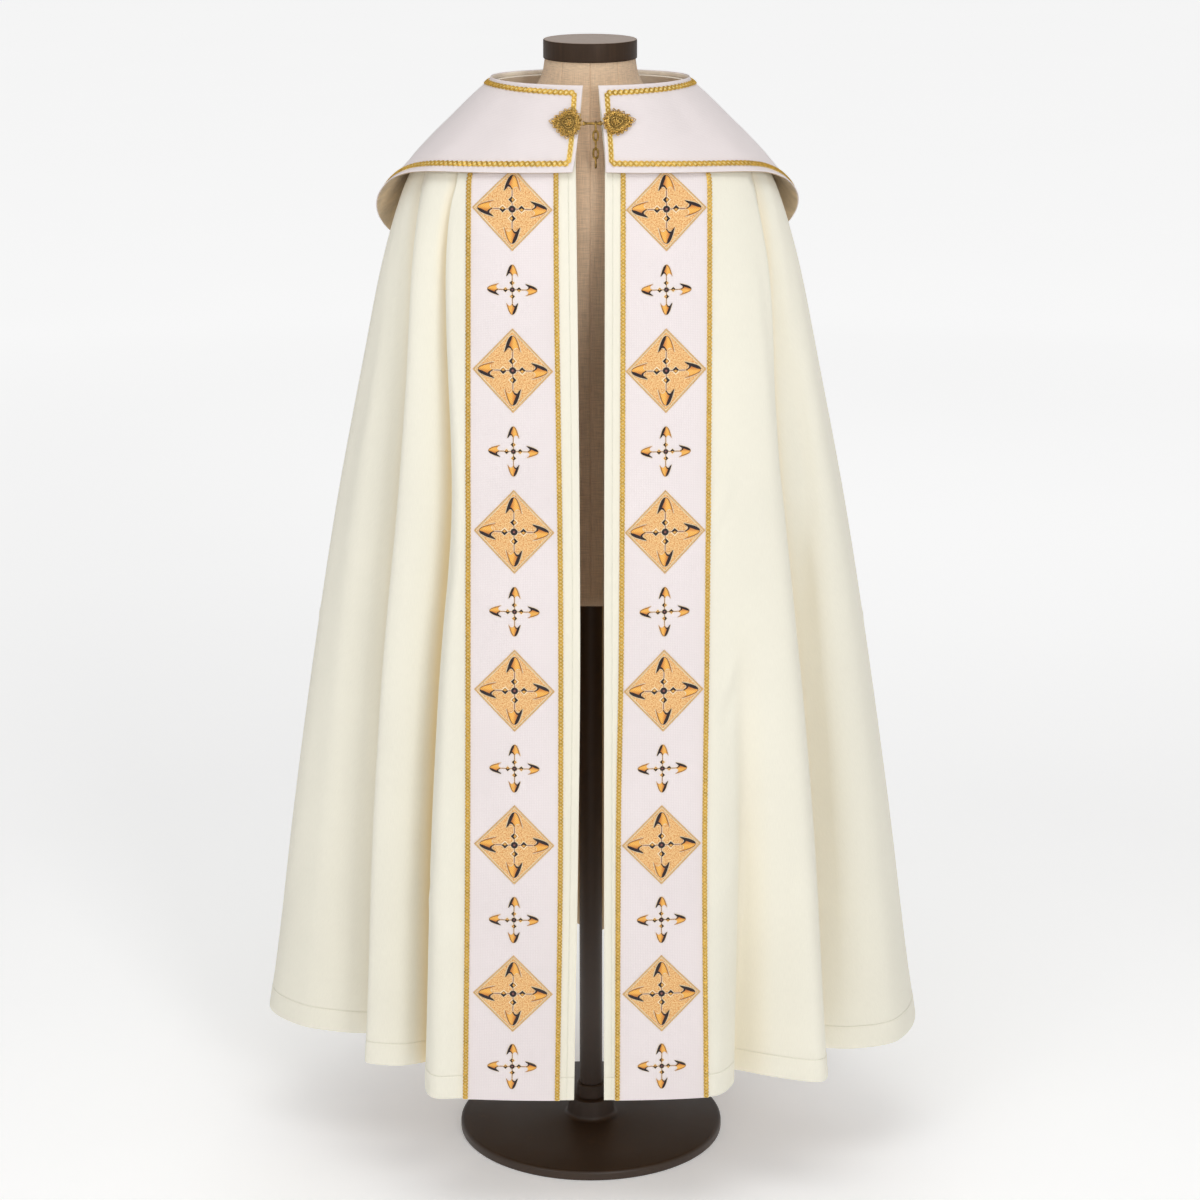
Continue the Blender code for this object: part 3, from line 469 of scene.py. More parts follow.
class FlatFront:
    """One flat front as a fine grid, to lay bands, braid and stitches on."""

    def __init__(self, side):
        self.side = side
        self.levels = np.linspace(HEM_Z, BAND_TOP_Z, 480)
        self.columns = 56
        shares = np.linspace(0.0, 1.0, self.columns)
        made = []
        for height in self.levels:
            edge = self.line("edge", height)
            distance = edge + (self.line("outer", height) + FLAT_MARGIN - edge) * shares
            bearings = front_bearing(distance, height)
            made.append(cloth_row(360.0 - bearings if side == "right" else bearings, height))
        self.points, self.normals = (np.array(part) for part in zip(*made))
        self.falls = travelled(self.points[:, self.columns // 2])

    def rise_of(self, height):
        """Length of cloth from the hem up to a level."""
        return np.interp(height, self.levels, self.falls)

    def level_of(self, rise):
        return np.interp(rise, self.falls, self.levels)

    def line(self, name, height):
        return front_line(self.side, name, height)

    def centre(self, height):
        """Distance of the orphrey's middle."""
        return (self.line("inner", height) + self.line("outer", height)) / 2.0

    def lay(self, distance, height, lift=0.0):
        """Points at distances from the middle and levels, and the normals there."""
        distance, height = np.broadcast_arrays(np.asarray(distance, float), np.asarray(height, float))
        edge = self.line("edge", height)
        outer = self.line("outer", height) + FLAT_MARGIN
        column = np.clip((distance - edge) / (outer - edge), 0.0, 1.0) * (self.columns - 1)
        top = len(self.levels) - 1
        row = np.clip((height - HEM_Z) / (BAND_TOP_Z - HEM_Z), 0.0, 1.0) * top
        j = np.clip(column.astype(int), 0, self.columns - 2)
        i = np.clip(row.astype(int), 0, top - 1)
        u = (column - j)[..., None]
        v = (row - i)[..., None]

        def mix(grid):
            low = grid[i, j] * (1.0 - u) + grid[i, j + 1] * u
            high = grid[i + 1, j] * (1.0 - u) + grid[i + 1, j + 1] * u
            return low * (1.0 - v) + high * v

        normals = unit(mix(self.normals))
        lift = np.broadcast_to(lift, np.shape(distance))[..., None]
        return mix(self.points) + normals * lift, normals

    def lay_on_band(self, rise, across, up, lift=0.0):
        """As lay, at offsets from a place on the orphrey's middle line."""
        height = self.level_of(rise + up)
        outward = -across if self.side == "left" else across
        return self.lay(self.centre(height) + outward, height, lift)


flat_front = made_once(FlatFront)


# --- mesh making ---


def ring_faces(rows, sides, closed=False):
    """Quads between rows of rings, and the fans that close the first and last ring."""
    number = np.arange(rows * sides).reshape(rows, sides)
    low = number if closed else number[:-1]
    high = np.roll(number, -1, axis=0) if closed else number[1:]
    quads = np.stack([low, np.roll(low, -1, 1), np.roll(high, -1, 1), high], axis=-1)
    fan = np.array([(0, k, k + 1) for k in range(1, sides - 1)])
    return quads.reshape(-1, 4), np.concatenate([fan[:, ::-1], fan + (rows - 1) * sides])


class Pile:
    """Parts of one mesh: vertices, quads or triangles, cloth co-ordinates, finish numbers."""

    def __init__(self):
        self.vertices, self.laid = [], []
        self.faces, self.finishes = [], []
        self.count = 0

    def add(self, vertices, faces, laid=None, finish=0):
        vertices = np.asarray(vertices, float).reshape(-1, 3)
        faces = np.asarray(faces, int)
        if laid is None:
            laid = np.zeros((len(vertices), 2))
        self.vertices.append(vertices)
        self.laid.append(np.asarray(laid, float).reshape(-1, 2))
        self.faces.append(faces + self.count)
        self.finishes.append(np.broadcast_to(finish, len(faces)))
        self.count += len(vertices)

    def shell(self, outer, inner, laid, finish=0, inner_finish=None):
        """A closed wall between two grids of points; outer is the side that shows."""
        outer = np.asarray(outer, float)
        inner = np.asarray(inner, float)
        rows, columns = outer.shape[:2]
        across = np.cross(outer[1:, :-1] - outer[:-1, :-1], outer[:-1, 1:] - outer[:-1, :-1])
        turned = np.sum(across * (outer - inner)[:-1, :-1]) < 0.0
        number = np.arange(rows * columns).reshape(rows, columns)
        corners = [number[:-1, :-1], number[1:, :-1], number[1:, 1:], number[:-1, 1:]]
        quads = np.stack([c.ravel() for c in corners], axis=1)
        rim = np.concatenate([number[0, :-1], number[:-1, -1], number[-1, :0:-1], number[:0:-1, 0]])
        after = np.roll(rim, -1)
        size = rows * columns
        walls = np.stack([rim, after, after + size, rim + size], axis=1)
        back = quads[:, ::-1] + size
        if turned:
            quads, back, walls = quads[:, ::-1], back[:, ::-1], walls[:, ::-1]
        inner_finish = finish if inner_finish is None else inner_finish
        faces = np.concatenate([quads, back, walls])
        numbers = np.concatenate([
            np.full(len(quads), finish), np.full(len(back), inner_finish), np.full(len(walls), finish)])
        self.add(np.concatenate([outer.reshape(-1, 3), inner.reshape(-1, 3)]), faces,
                 np.concatenate([np.asarray(laid).reshape(-1, 2)] * 2), numbers)

    def tube(self, path, normals, radius, sides=6, closed=False, finish=0, flat=1.0):
        """A round or flattened wire along a path; normals say which way is up."""
        path = np.asarray(path, float)
        round_on = np.roll(path, -1, axis=0) - np.roll(path, 1, axis=0)
        ahead = unit(round_on if closed else np.gradient(path, axis=0))
        side = unit(np.cross(ahead, normals))
        up = np.cross(side, ahead)
        turn = turns(sides)
        radius = np.broadcast_to(radius, len(path))[:, None, None]
        ring = (np.cos(turn)[None, :, None] * side[:, None, :]
                + np.sin(turn)[None, :, None] * up[:, None, :] * flat)
        points = path[:, None, :] + ring * radius
        laid = spots(turn / (2.0 * np.pi), travelled(path)[:, None])
        self.rings(points, laid, finish, closed)

    def rings(self, points, laid, finish=0, closed=False):
        """Rings of points joined into a tube, with its ends filled unless it is closed."""
        rows, sides = points.shape[:2]
        quads, caps = ring_faces(rows, sides, closed)
        self.add(points, quads, laid, finish)
        if not closed:
            self.add_caps(caps, self.count - rows * sides, finish)

    def add_caps(self, caps, first, finish=0):
        """More faces on vertices that are there already, counted from the first."""
        self.faces.append(caps + first)
        self.finishes.append(np.full(len(caps), finish))

    def mesh(self, name, sharp=40.0):
        vertices = np.concatenate(self.vertices)
        laid = np.concatenate(self.laid)
        loops = np.concatenate([part.ravel() for part in self.faces])
        sizes = np.concatenate([np.full(len(part), part.shape[1]) for part in self.faces])
        starts = np.concatenate([[0], np.cumsum(sizes)[:-1]])
        made = bpy.data.meshes.new(name)
        made.vertices.add(len(vertices))
        made.vertices.foreach_set("co", (vertices + SHIFT).astype(np.float32).ravel())
        made.loops.add(len(loops))
        made.loops.foreach_set("vertex_index", loops.astype(np.int32))
        made.polygons.add(len(sizes))
        made.polygons.foreach_set("loop_start", starts.astype(np.int32))
        made.polygons.foreach_set("material_index", np.concatenate(self.finishes).astype(np.int32))
        made.update(calc_edges=True)
        layer = made.uv_layers.new(name="laid_flat")
        layer.data.foreach_set("uv", laid[loops].astype(np.float32).ravel())
        made.validate()
        made.shade_smooth()
        made.set_sharp_from_angle(angle=math.radians(sharp))
        return made


def pole_shift():
    """From the solids' own origin, under the collar's middle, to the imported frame's."""
    low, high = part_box("stand_pole")
    return np.array([(low.x + high.x) / 2.0, (low.y + high.y) / 2.0 - FORM_Y, 0.0])


SHIFT = pole_shift()


def place(name, pile, finishes, replaces=(), slot=None, sharp=40.0):
    """Puts a finished piece in the scene, on the row's one body."""
    piece = bpy.data.objects.new("finished_" + name, pile.mesh(name, sharp))
    bpy.context.scene.collection.objects.link(piece)
    for finish in finishes:
        piece.data.materials.append(finish)
    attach(piece, "root")
    if replaces:
        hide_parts(*replaces)
    return piece


# --- finishes ---


def linear(red, green, blue):
    """A colour given in 0 to 255 as shown on a screen, for a shader."""
    parts = []
    for part in (red, green, blue):
        part /= 255.0
        parts.append(part / 12.92 if part <= 0.04045 else ((part + 0.055) / 1.055) ** 2.4)
    return tuple(parts)


def shaded(colour, factor):
    return tuple(min(1.0, part * factor) for part in colour)


def tint(name, factor=1.0):
    """One of the panel's colours, lighter or darker."""
    return shaded(tuple(getattr(bpy.context.scene.vestment_colours, name)), factor)


class Finish:
    """A material under construction: short ways to add and join its nodes."""

    def __init__(self, name, **settings):
        self.material = bpy.data.materials.new(name)
        self.material.use_nodes = True
        self.tree = self.material.node_tree
        self.shader = self.tree.nodes["Principled BSDF"]
        for socket, value in settings.items():
            self.shader.inputs[socket.replace("_", " ")].default_value = value

    def join(self, source, target):
        self.tree.links.new(source, target)

    def feed(self, socket, value):
        """Join a socket to another one, or set it to a number or a colour."""
        if isinstance(value, bpy.types.NodeSocket):
            self.join(value, socket)
        elif isinstance(value, tuple):
            socket.default_value = (*value[:3], 1.0)
        else:
            socket.default_value = value

    def node(self, kind, **inputs):
        made = self.tree.nodes.new(kind)
        for name, value in inputs.items():
            self.feed(made.inputs[name.replace("_", " ")], value)
        return made

    def laid(self):
        """Cloth co-ordinates in metres, as the piece was cut."""
        made = self.tree.nodes.new("ShaderNodeUVMap")
        made.uv_map = "laid_flat"
        return made.outputs["UV"]

    def place(self):
        return self.tree.nodes.new("ShaderNodeTexCoord").outputs["Object"]

    def noise(self, where, scale, detail=3.0, rough=0.5):
        made = self.node("ShaderNodeTexNoise", Vector=where, Scale=scale, Detail=detail, Roughness=rough)
        return made.outputs["Fac"]

    def above(self, height, over):
        """1 above a height on the piece and 0 below it, changing over a small step."""
        parts = self.node("ShaderNodeSeparateXYZ", Vector=self.place())
        made = self.node("ShaderNodeMapRange", Value=parts.outputs["Z"],
                         From_Min=height, From_Max=height + over)
        return made.outputs["Result"]

    def stretched(self, where, across, along):
        made = self.node("ShaderNodeMapping", Vector=where)
        made.inputs["Scale"].default_value = (across, along, 1.0)
        return made.outputs["Vector"]

    def threads(self, where, period, direction="X", shape="SIN"):
        """Even threads of this pitch, as a value from 0 to 1."""
        made = self.node("ShaderNodeTexWave", Vector=where, Scale=math.pi / (10.0 * period))
        made.wave_type = "BANDS"
        made.bands_direction = direction
        made.wave_profile = shape
        return made.outputs["Fac"]

    def weave(self, where, pitch):
        """A plain weave: warp and weft threads that rise in turn."""
        return self.math("MULTIPLY", self.threads(where, pitch, "X"), self.threads(where, pitch, "Y"))

    def math(self, what, first, second):
        made = self.tree.nodes.new("ShaderNodeMath")
        made.operation = what
        for socket, value in zip(made.inputs, (first, second)):
            self.feed(socket, value)
        return made.outputs["Value"]

    def ramp(self, value, *stops):
        """Colours, or grey levels, at places from 0 to 1."""
        made = self.node("ShaderNodeValToRGB", Fac=value)
        bar = made.color_ramp.elements
        while len(bar) < len(stops):
            bar.new(0.5)
        for element, (position, colour) in zip(bar, stops):
            element.position = position
            if isinstance(colour, float):
                colour = (colour, colour, colour)
            element.color = (*colour[:3], 1.0)
        return made.outputs["Color"]

    def shades(self, value, colour, *stops):
        """Lighter and darker shades of one colour, at places from 0 to 1."""
        return self.ramp(value, *[(place, shaded(colour, factor)) for place, factor in stops])

    def blend(self, share, first, second, how="MIX"):
        made = self.tree.nodes.new("ShaderNodeMix")
        made.data_type = "RGBA"
        made.blend_type = how
        for number, value in ((0, share), (6, first), (7, second)):
            self.feed(made.inputs[number], value)
        return made.outputs[2]

    def under(self, colour, shade):
        return self.blend(1.0, colour, shade, "MULTIPLY")

    def colour(self, source):
        self.join(source, self.shader.inputs["Base Color"])

    def rough(self, value, low, high):
        made = self.node("ShaderNodeMapRange", Value=value, To_Min=low, To_Max=high)
        self.join(made.outputs["Result"], self.shader.inputs["Roughness"])

    def relief(self, *layers):
        """Fine relief: (value, depth in metres) from the finest layer to the coarsest."""
        below = None
        for value, depth in reversed(layers):
            bump = self.node("ShaderNodeBump", Height=value, Strength=1.0, Distance=depth)
            if below is not None:
                self.join(below, bump.inputs["Normal"])
            below = bump.outputs["Normal"]
        self.join(below, self.shader.inputs["Normal"])


FACING_EDGE_Z = NECK_Z - 0.004       # the facing's colour rolls over the neck's edge to here
FACING_FOOT_Z = 1.405                # the facing's lower edge inside the cope
COLLAR_FACING = (0.034, 0.038)       # the collar's facing ends between these, down its cloth
# Painted shade: the cream is darkened and yellowed down in the folds, where their shade falls: tints half
# way down and at the bottom.
FOLD_PAINTED_SHADE = ((1.0, 0.945, 0.86), (0.99, 0.865, 0.64))


@made_once
def main_cloth():
    finish = Finish("cream_plain_weave", Roughness=0.78, Sheen_Weight=0.25, Sheen_Roughness=0.45,
                    Specular_IOR_Level=0.3, Sheen_Tint=(1.0, 0.97, 0.90, 1.0))
    cloth = finish.laid()
    weave = finish.weave(cloth, 0.0006)
    slub = finish.noise(finish.stretched(cloth, 1600.0, 90.0), 1.0, 3.0)
    patch = finish.noise(finish.place(), 5.0, 4.0)
    broad = finish.shades(patch, tint("main_cloth"), (0.30, 0.975), (0.70, 1.02))
    grain = finish.ramp(slub, (0.35, 0.965), (0.65, 1.0))
    # painted shade in the folds: the cream darkens by how far down a fold each point lies
    fold = finish.tree.nodes.new("ShaderNodeAttribute")
    fold.attribute_name = "fold_tone"
    deep = finish.ramp(fold.outputs["Fac"], (0.0, 1.0), (0.5, FOLD_PAINTED_SHADE[0]), (1.0, FOLD_PAINTED_SHADE[1]))
    fold_shaded = finish.under(broad, deep)
    fold_shaded = finish.blend(finish.above(FACING_EDGE_Z, 0.001), fold_shaded, tint("neck_facing", 0.9))
    finish.colour(finish.under(fold_shaded, grain))
    finish.rough(patch, 0.72, 0.82)
    finish.relief((weave, 0.00006), (slub, 0.00005), (finish.noise(finish.place(), 70.0, 4.0), 0.00025))
    return finish.material


@made_once
def cope_lining():
    finish = Finish("lining_twill", Roughness=0.55, Sheen_Weight=0.2, Specular_IOR_Level=0.4)
    cloth = finish.laid()
    twill = finish.threads(cloth, 0.0008, "DIAGONAL")
    patch = finish.noise(finish.place(), 9.0, 4.0)
    body = finish.shades(patch, tint("lining"), (0.3, 1.12), (0.7, 1.30))
    crush = finish.noise(finish.place(), 42.0, 5.0, 0.6)
    facing = finish.shades(crush, tint("neck_facing"), (0.30, 0.88), (0.55, 1.0), (0.75, 1.10))
    finish.colour(finish.blend(finish.above(FACING_FOOT_Z, 0.002), body, facing))
    finish.rough(patch, 0.48, 0.62)
    finish.relief((twill, 0.00005), (finish.noise(finish.place(), 55.0, 4.0), 0.0005))
    return finish.material


@made_once
def collar_satin():
    finish = Finish("taupe_satin", Sheen_Weight=0.15, Specular_IOR_Level=0.6, Anisotropic=0.5)
    cloth = finish.laid()
    floats = finish.threads(cloth, 0.0005, "X")
    crush = finish.noise(finish.place(), 42.0, 5.0, 0.6)
    # painted shade and highlight: the satin and its facing darken in the hollows of the crushed wrinkles and
    # lighten on their crests
    body = finish.shades(crush, tint("lining"), (0.30, 0.78), (0.55, 1.0), (0.75, 1.30))
    facing = finish.shades(crush, tint("neck_facing"), (0.30, 0.84), (0.55, 1.0), (0.75, 1.12))
    parts = finish.node("ShaderNodeSeparateXYZ", Vector=cloth)
    turn = finish.ramp(parts.outputs["Y"], (COLLAR_FACING[0], 1.0), (COLLAR_FACING[1], 0.0))
    finish.colour(finish.blend(turn, body, facing))
    finish.rough(crush, 0.30, 0.46)
    finish.relief((floats, 0.00003), (crush, 0.0016))
    return finish.material


@made_once
def white_cloth():
    """White cloth with a small dotted weave, for the orphreys and the collar."""
    finish = Finish("white_dot_weave", Roughness=0.7, Sheen_Weight=0.2, Sheen_Roughness=0.4,
                    Specular_IOR_Level=0.35)
    cloth = finish.laid()
    dots = finish.weave(cloth, 0.0022)
    fine = finish.weave(cloth, 0.0006)
    patch = finish.noise(finish.place(), 7.0, 4.0)
    base = finish.shades(patch, tint("white_cloth"), (0.30, 0.97), (0.70, 1.015))
    # the dotted weave's pattern, its hollows darkened a little as painted shade
    spots = finish.ramp(dots, (0.15, (0.955, 0.945, 0.95)), (0.55, 1.0))
    finish.colour(finish.under(base, spots))
    finish.rough(dots, 0.74, 0.60)
    finish.relief((fine, 0.00004), (dots, 0.00012), (finish.noise(finish.place(), 60.0, 3.0), 0.0002))
    return finish.material


@made_once
def gold_thread():
    """Metal thread wound round a core: it shows as fine turns along each loop, with painted shade in the
    grooves between them.
    """
    gold = tint("gold_braid")
    finish = Finish("gold_wound_thread", Metallic=0.70, Specular_IOR_Level=0.6)
    turns = finish.threads(finish.stretched(finish.laid(), 0.0009, 1.0), 0.0009, "DIAGONAL")
    age = finish.noise(finish.place(), 160.0, 3.0)
    bright = finish.shades(age, gold, (0.25, 0.70), (0.55, 1.0), (0.80, 1.35))
    # painted shade: the gold darkens in the grooves between the turns
    finish.colour(finish.blend(finish.ramp(turns, (0.0, 0.45), (0.45, 0.0)), bright, shaded(gold, 0.45)))
    finish.rough(age, 0.42, 0.26)
    finish.relief((turns, 0.00016))
    return finish.material


@made_once
def gold_ground():
    gold = linear(246, 220, 148)
    finish = Finish("gold_braid_ground", Metallic=0.35, Specular_IOR_Level=0.5)
    cloth = finish.laid()
    rib = finish.threads(cloth, 0.0009, "Y")
    wear = finish.noise(finish.place(), 210.0, 3.0)
    # painted highlight: the gold ground is lightened on the ribs' crests
    finish.colour(finish.blend(rib, finish.shades(wear, gold, (0.3, 0.75), (0.7, 1.0)), shaded(gold, 1.15)))
    finish.rough(wear, 0.62, 0.45)
    finish.relief((rib, 0.00015))
    return finish.material


@made_once
def bud_thread():
    """A bud's satin stitch: brownish by its dark flank, light gold in the middle."""
    deep = tint("bud")
    light = tint("bud_light")
    finish = Finish("bud_satin_stitch", Sheen_Weight=0.35, Sheen_Roughness=0.35, Specular_IOR_Level=0.5)
    cloth = finish.laid()
    parts = finish.node("ShaderNodeSeparateXYZ", Vector=cloth)
    waver = finish.noise(finish.stretched(cloth, 3.0, 9.0), 1.0, 2.0)
    bent = finish.math("ADD", parts.outputs["X"],
                       finish.math("MULTIPLY", finish.math("SUBTRACT", waver, 0.5), 0.18))
    body = finish.ramp(bent, (0.22, shaded(deep, 0.45)), (0.42, deep), (0.58, light), (0.74, light),
                       (0.92, shaded(deep, 0.85)))
    rows = finish.threads(cloth, 0.07, "DIAGONAL")
    # painted shade: the satin darkens in the grooves between its rows
    groove_shade = finish.ramp(rows, (0.0, 0.80), (0.4, 1.0))
    finish.colour(finish.under(body, groove_shade))
    finish.rough(rows, 0.55, 0.38)
    finish.relief((rows, 0.0002))
    return finish.material


# Threads: a colour of the panel and how much it is lightened or darkened, the way of the rows, their pitch
# and how dark the painted shade in the grooves between them is.
THREADS = {
    "field_seed_stitch": ("field", 1.0, "DIAGONAL", 0.0009, 0.9),
    "pale_edge_cord": ("edge_thread", 1.0, "DIAGONAL", 0.0009, 0.72),
    "peach_edge_cord": ("field", 0.93, "Y", 0.0006, 0.72),
    "dark_thread": ("dark_thread", 1.0, "X", 0.0006, 0.72),
    "link_thread": ("link_thread", 1.0, "X", 0.0006, 0.72),
    "amber_thread": ("bud", 0.62, "X", 0.0006, 0.72),
    "cream_sewing_thread": ("main_cloth", 1.05, "Y", 0.0004, 0.72),
}


@made_once
def thread(name):
    """Close rows of embroidery thread; the lozenges' ground is flecked with the buds' orange."""
    colour, shade, direction, pitch, groove_shade = THREADS[name]
    colour = tint(colour, shade)
    finish = Finish(name, Sheen_Weight=0.35, Sheen_Roughness=0.35, Specular_IOR_Level=0.5)
    cloth = finish.laid()
    rows = finish.threads(cloth, pitch, direction)
    speck = finish.noise(finish.stretched(cloth, 620.0, 620.0), 1.0, 2.0, 0.7)
    if name == "field_seed_stitch":
        base = finish.ramp(speck, (0.40, tint("bud")), (0.52, colour), (0.68, shaded(colour, 1.12)))
    else:
        base = finish.shades(speck, colour, (0.3, 0.86), (0.7, 1.10))
    # painted shade: the thread darkens in the grooves between its rows
    finish.colour(finish.under(base, finish.ramp(rows, (0.0, groove_shade), (0.35, 1.0))))
    finish.rough(speck, 0.40, 0.58)
    finish.relief((rows, 0.00018), (speck, 0.0001))
    return finish.material


@made_once
def form_linen():
    finish = Finish("natural_linen", Roughness=0.9, Sheen_Weight=0.2, Specular_IOR_Level=0.2)
    cloth = finish.laid()
    weave = finish.weave(cloth, 0.0011)
    slubs = [finish.noise(finish.stretched(cloth, *stretch), 1.0, 3.0)
             for stretch in ((700.0, 40.0), (40.0, 700.0))]
    slub = finish.math("MULTIPLY", *slubs)
    base = finish.shades(slub, tint("linen"), (0.10, 0.78), (0.25, 1.0), (0.42, 1.18))
    # painted shade: the linen darkens in the hollows of its weave
    finish.colour(finish.under(base, finish.ramp(weave, (0.0, 0.88), (0.5, 1.0))))
    finish.rough(slub, 0.95, 0.82)
    finish.relief((weave, 0.00014), (slub, 0.0006))
    return finish.material


CAP_TOP_Z = 1.533
# The cap's top is painted much lighter than its sides, a painted reflection of the lacquer's sheen:
CAP_TOP_SHEEN_GRAIN = (linear(142, 124, 111), linear(165, 145, 130))    # dark and light grain


@made_once
def cap_lacquer():
    finish = Finish("brown_lacquered_wood", Coat_Weight=0.05, Coat_Roughness=0.35, Specular_IOR_Level=0.2)
    grain = finish.noise(finish.stretched(finish.place(), 9.0, 60.0), 6.0, 6.0, 0.6)
    wear = finish.noise(finish.place(), 260.0, 3.0)
    side = finish.shades(grain, tint("lacquer"), (0.30, 0.65), (0.60, 0.9), (0.80, 1.35))
    # painted reflection: the top's grain is painted light
    top = finish.ramp(grain, *zip((0.30, 0.80), CAP_TOP_SHEEN_GRAIN))
    finish.colour(finish.blend(finish.above(CAP_TOP_Z - 0.0006, 0.0004), side, top))
    finish.rough(wear, 0.46, 0.58)
    finish.relief((wear, 0.00008), (grain, 0.00015))
    return finish.material


@made_once
def stand_paint():
    finish = Finish("brown_stand_paint", Coat_Weight=0.2, Coat_Roughness=0.35)
    peel = finish.noise(finish.place(), 420.0, 3.0)
    scuff = finish.noise(finish.place(), 28.0, 6.0, 0.7)
    finish.colour(finish.shades(scuff, tint("lacquer"), (0.35, 0.85), (0.62, 1.0), (0.76, 1.9)))
    finish.rough(scuff, 0.40, 0.60)
    finish.relief((peel, 0.00006))
    return finish.material


# Brass: its shade, how metallic it is, the scale of its tarnish, that tarnish's places and
# shades, and its roughness.
BRASSES = {
    "antique_brass": (1.0, 1.0, 420.0, ((0.28, 0.30), (0.48, 1.0), (0.72, 1.9)), (0.50, 0.30)),
    "worn_brass_wire": (0.62, 0.95, 300.0, ((0.3, 0.35), (0.5, 1.0), (0.72, 2.2)), (0.50, 0.32)),
    "tarnished_brass": (0.36, 0.9, 380.0, ((0.3, 0.5), (0.7, 1.5)), (0.62, 0.48)),
}


@made_once
def brass(name):
    shade, metallic, scale, stops, roughness = BRASSES[name]
    finish = Finish(name, Metallic=metallic, Specular_IOR_Level=0.5)
    tarnish = finish.noise(finish.place(), scale, 5.0, 0.6)
    finish.colour(finish.shades(tarnish, tint("brass", shade), *stops))
    finish.rough(tarnish, *roughness)
    if name == "antique_brass":
        fine = finish.noise(finish.place(), 1500.0, 3.0)
        finish.relief((fine, 0.00005), (tarnish, 0.0002))
    else:
        finish.relief((tarnish, 0.0003))
    return finish.material


FLOOR_REACH = 40.0       # half the floor's width
# How much the floor glows, a painted light that no lamp gives and that also lights the cloth, over shares of
# its reach.
FLOOR_GLOW = ((0.04, 0.25), (0.15, 0.52), (0.50, 0.52), (0.95, 0.03))


@made_once
def self_lit_floor():
    finish = Finish("pale_floor", Roughness=0.9, Specular_IOR_Level=0.1,
                    Emission_Color=(1.0, 1.0, 1.0, 1.0))
    away = finish.tree.nodes.new("ShaderNodeVectorMath")
    away.operation = "LENGTH"
    finish.join(finish.place(), away.inputs[0])
    # painted light: the floor glows by its own emission
    glow = finish.ramp(finish.math("DIVIDE", away.outputs["Value"], FLOOR_REACH), *FLOOR_GLOW)
    finish.join(glow, finish.shader.inputs["Emission Strength"])
    patch = finish.noise(finish.place(), 1.3, 3.0)
    finish.colour(finish.shades(patch, tint("floor"), (0.3, 0.99), (0.7, 1.0)))
    return finish.material


# --- the main cloth ---

GORES = ("cope_front_left", "cope_back_left", "cope_back_right", "cope_front_right")
# Close rows and columns by the edges: metres from a front edge, metres up from the hem, and
# shares of the first column by a seam.
EDGE_COLUMNS = (0.0, 0.0008, 0.0026, 0.0086, 0.0094, 0.0100, 0.0106, 0.0114)
HEM_ROWS = (0.0, 0.0007, 0.0022, 0.0060, 0.0120, 0.0200, 0.0270, 0.0306, 0.0313, 0.0320, 0.0327, 0.0336)
SEAM_STARTS = (0.0, 0.02, 0.07, 0.20, 0.45)
COLUMN_Z = 0.30          # the level at which the columns are counted
EDGE_ROUND = 0.0009      # how much the cloth's edges are rounded
# How deep each line of sewing dents the face, and how far the dent spreads.
STITCH_DENT = (0.00055, 0.0006)
SEAM_DENT = (0.0006, 0.0035)
HEM_DENT = (0.0006, 0.0007)
HEM_SWELL = 0.0004       # how much the turned hem stands out


def cloth_levels():
    """Levels of the main cloth's rows, from the hem up."""
    low = HEM_Z + 0.040
    body = np.linspace(low, 1.36, 132)
    top = np.linspace(1.36, NECK_Z, 12)[1:]
    return np.concatenate([HEM_Z + np.array(HEM_ROWS), body, top])


def edge_stations(side, height):
    edge = float(front_line(side, "edge", height))
    near = [float(front_bearing(edge + step, height)) for step in EDGE_COLUMNS]
    return near + [float(flat_end(side, height))]


def gore_stations(gore, height):
    """Bearings of the lines between which a gore's columns are spread."""
    lines = [fold_bearing(fold, height) for fold in FOLDS]
    names = [fold.name for fold in FOLDS]
    left, back, right = [names.index(name) for name in SEAMS]
    gap = math.degrees(SEAM_GAP / 2.0 / float(at(COPE_SECTIONS, "front", height)))
    if gore == "cope_front_left":
        return edge_stations("left", height) + lines[:left] + [lines[left] - gap]
    if gore == "cope_back_left":
        return [lines[left] + gap] + lines[left + 1:back] + [lines[back] - gap]
    if gore == "cope_back_right":
        return [lines[back] + gap] + lines[back + 1:right] + [lines[right] - gap]
    mirrored = [360.0 - bearing for bearing in reversed(edge_stations("right", height))]
    return [lines[right] + gap] + lines[right + 1:] + mirrored


def gore_columns(gore, cell):
    """Places of a gore's columns, counted in stations."""
    stations = np.array(gore_stations(gore, COLUMN_Z))
    places = [0.0]
    for k, (low, high) in enumerate(zip(stations, stations[1:])):
        row = folded_row(np.linspace(low, high, 9), COLUMN_Z)
        count = max(1, math.ceil(lengths(row) / cell))
        places.extend(k + np.arange(1, count + 1) / count)
    places = np.array(places)
    last = len(stations) - 1
    if gore != "cope_front_left":
        places = np.concatenate([np.array(SEAM_STARTS) * places[1], places[1:]])
    if gore != "cope_front_right":
        step = last - places[-2]
        places = np.concatenate([places[:-1], last - np.array(SEAM_STARTS)[::-1] * step])
    return places


# These measure the folds for their painted shade.
FOLD_SPAN = 11.0         # degrees over which a fold is told from the cloth round it
FOLD_FULL = 0.011        # depth of a fold that counts as full
# The wide fold by the right orphrey is open to the light, so it gets less painted shade: bearings, and
# shares of that shade.
OPEN_FOLD = ((308.0, 313.0, 340.0, 345.0), (1.0, 0.25, 0.25, 1.0))


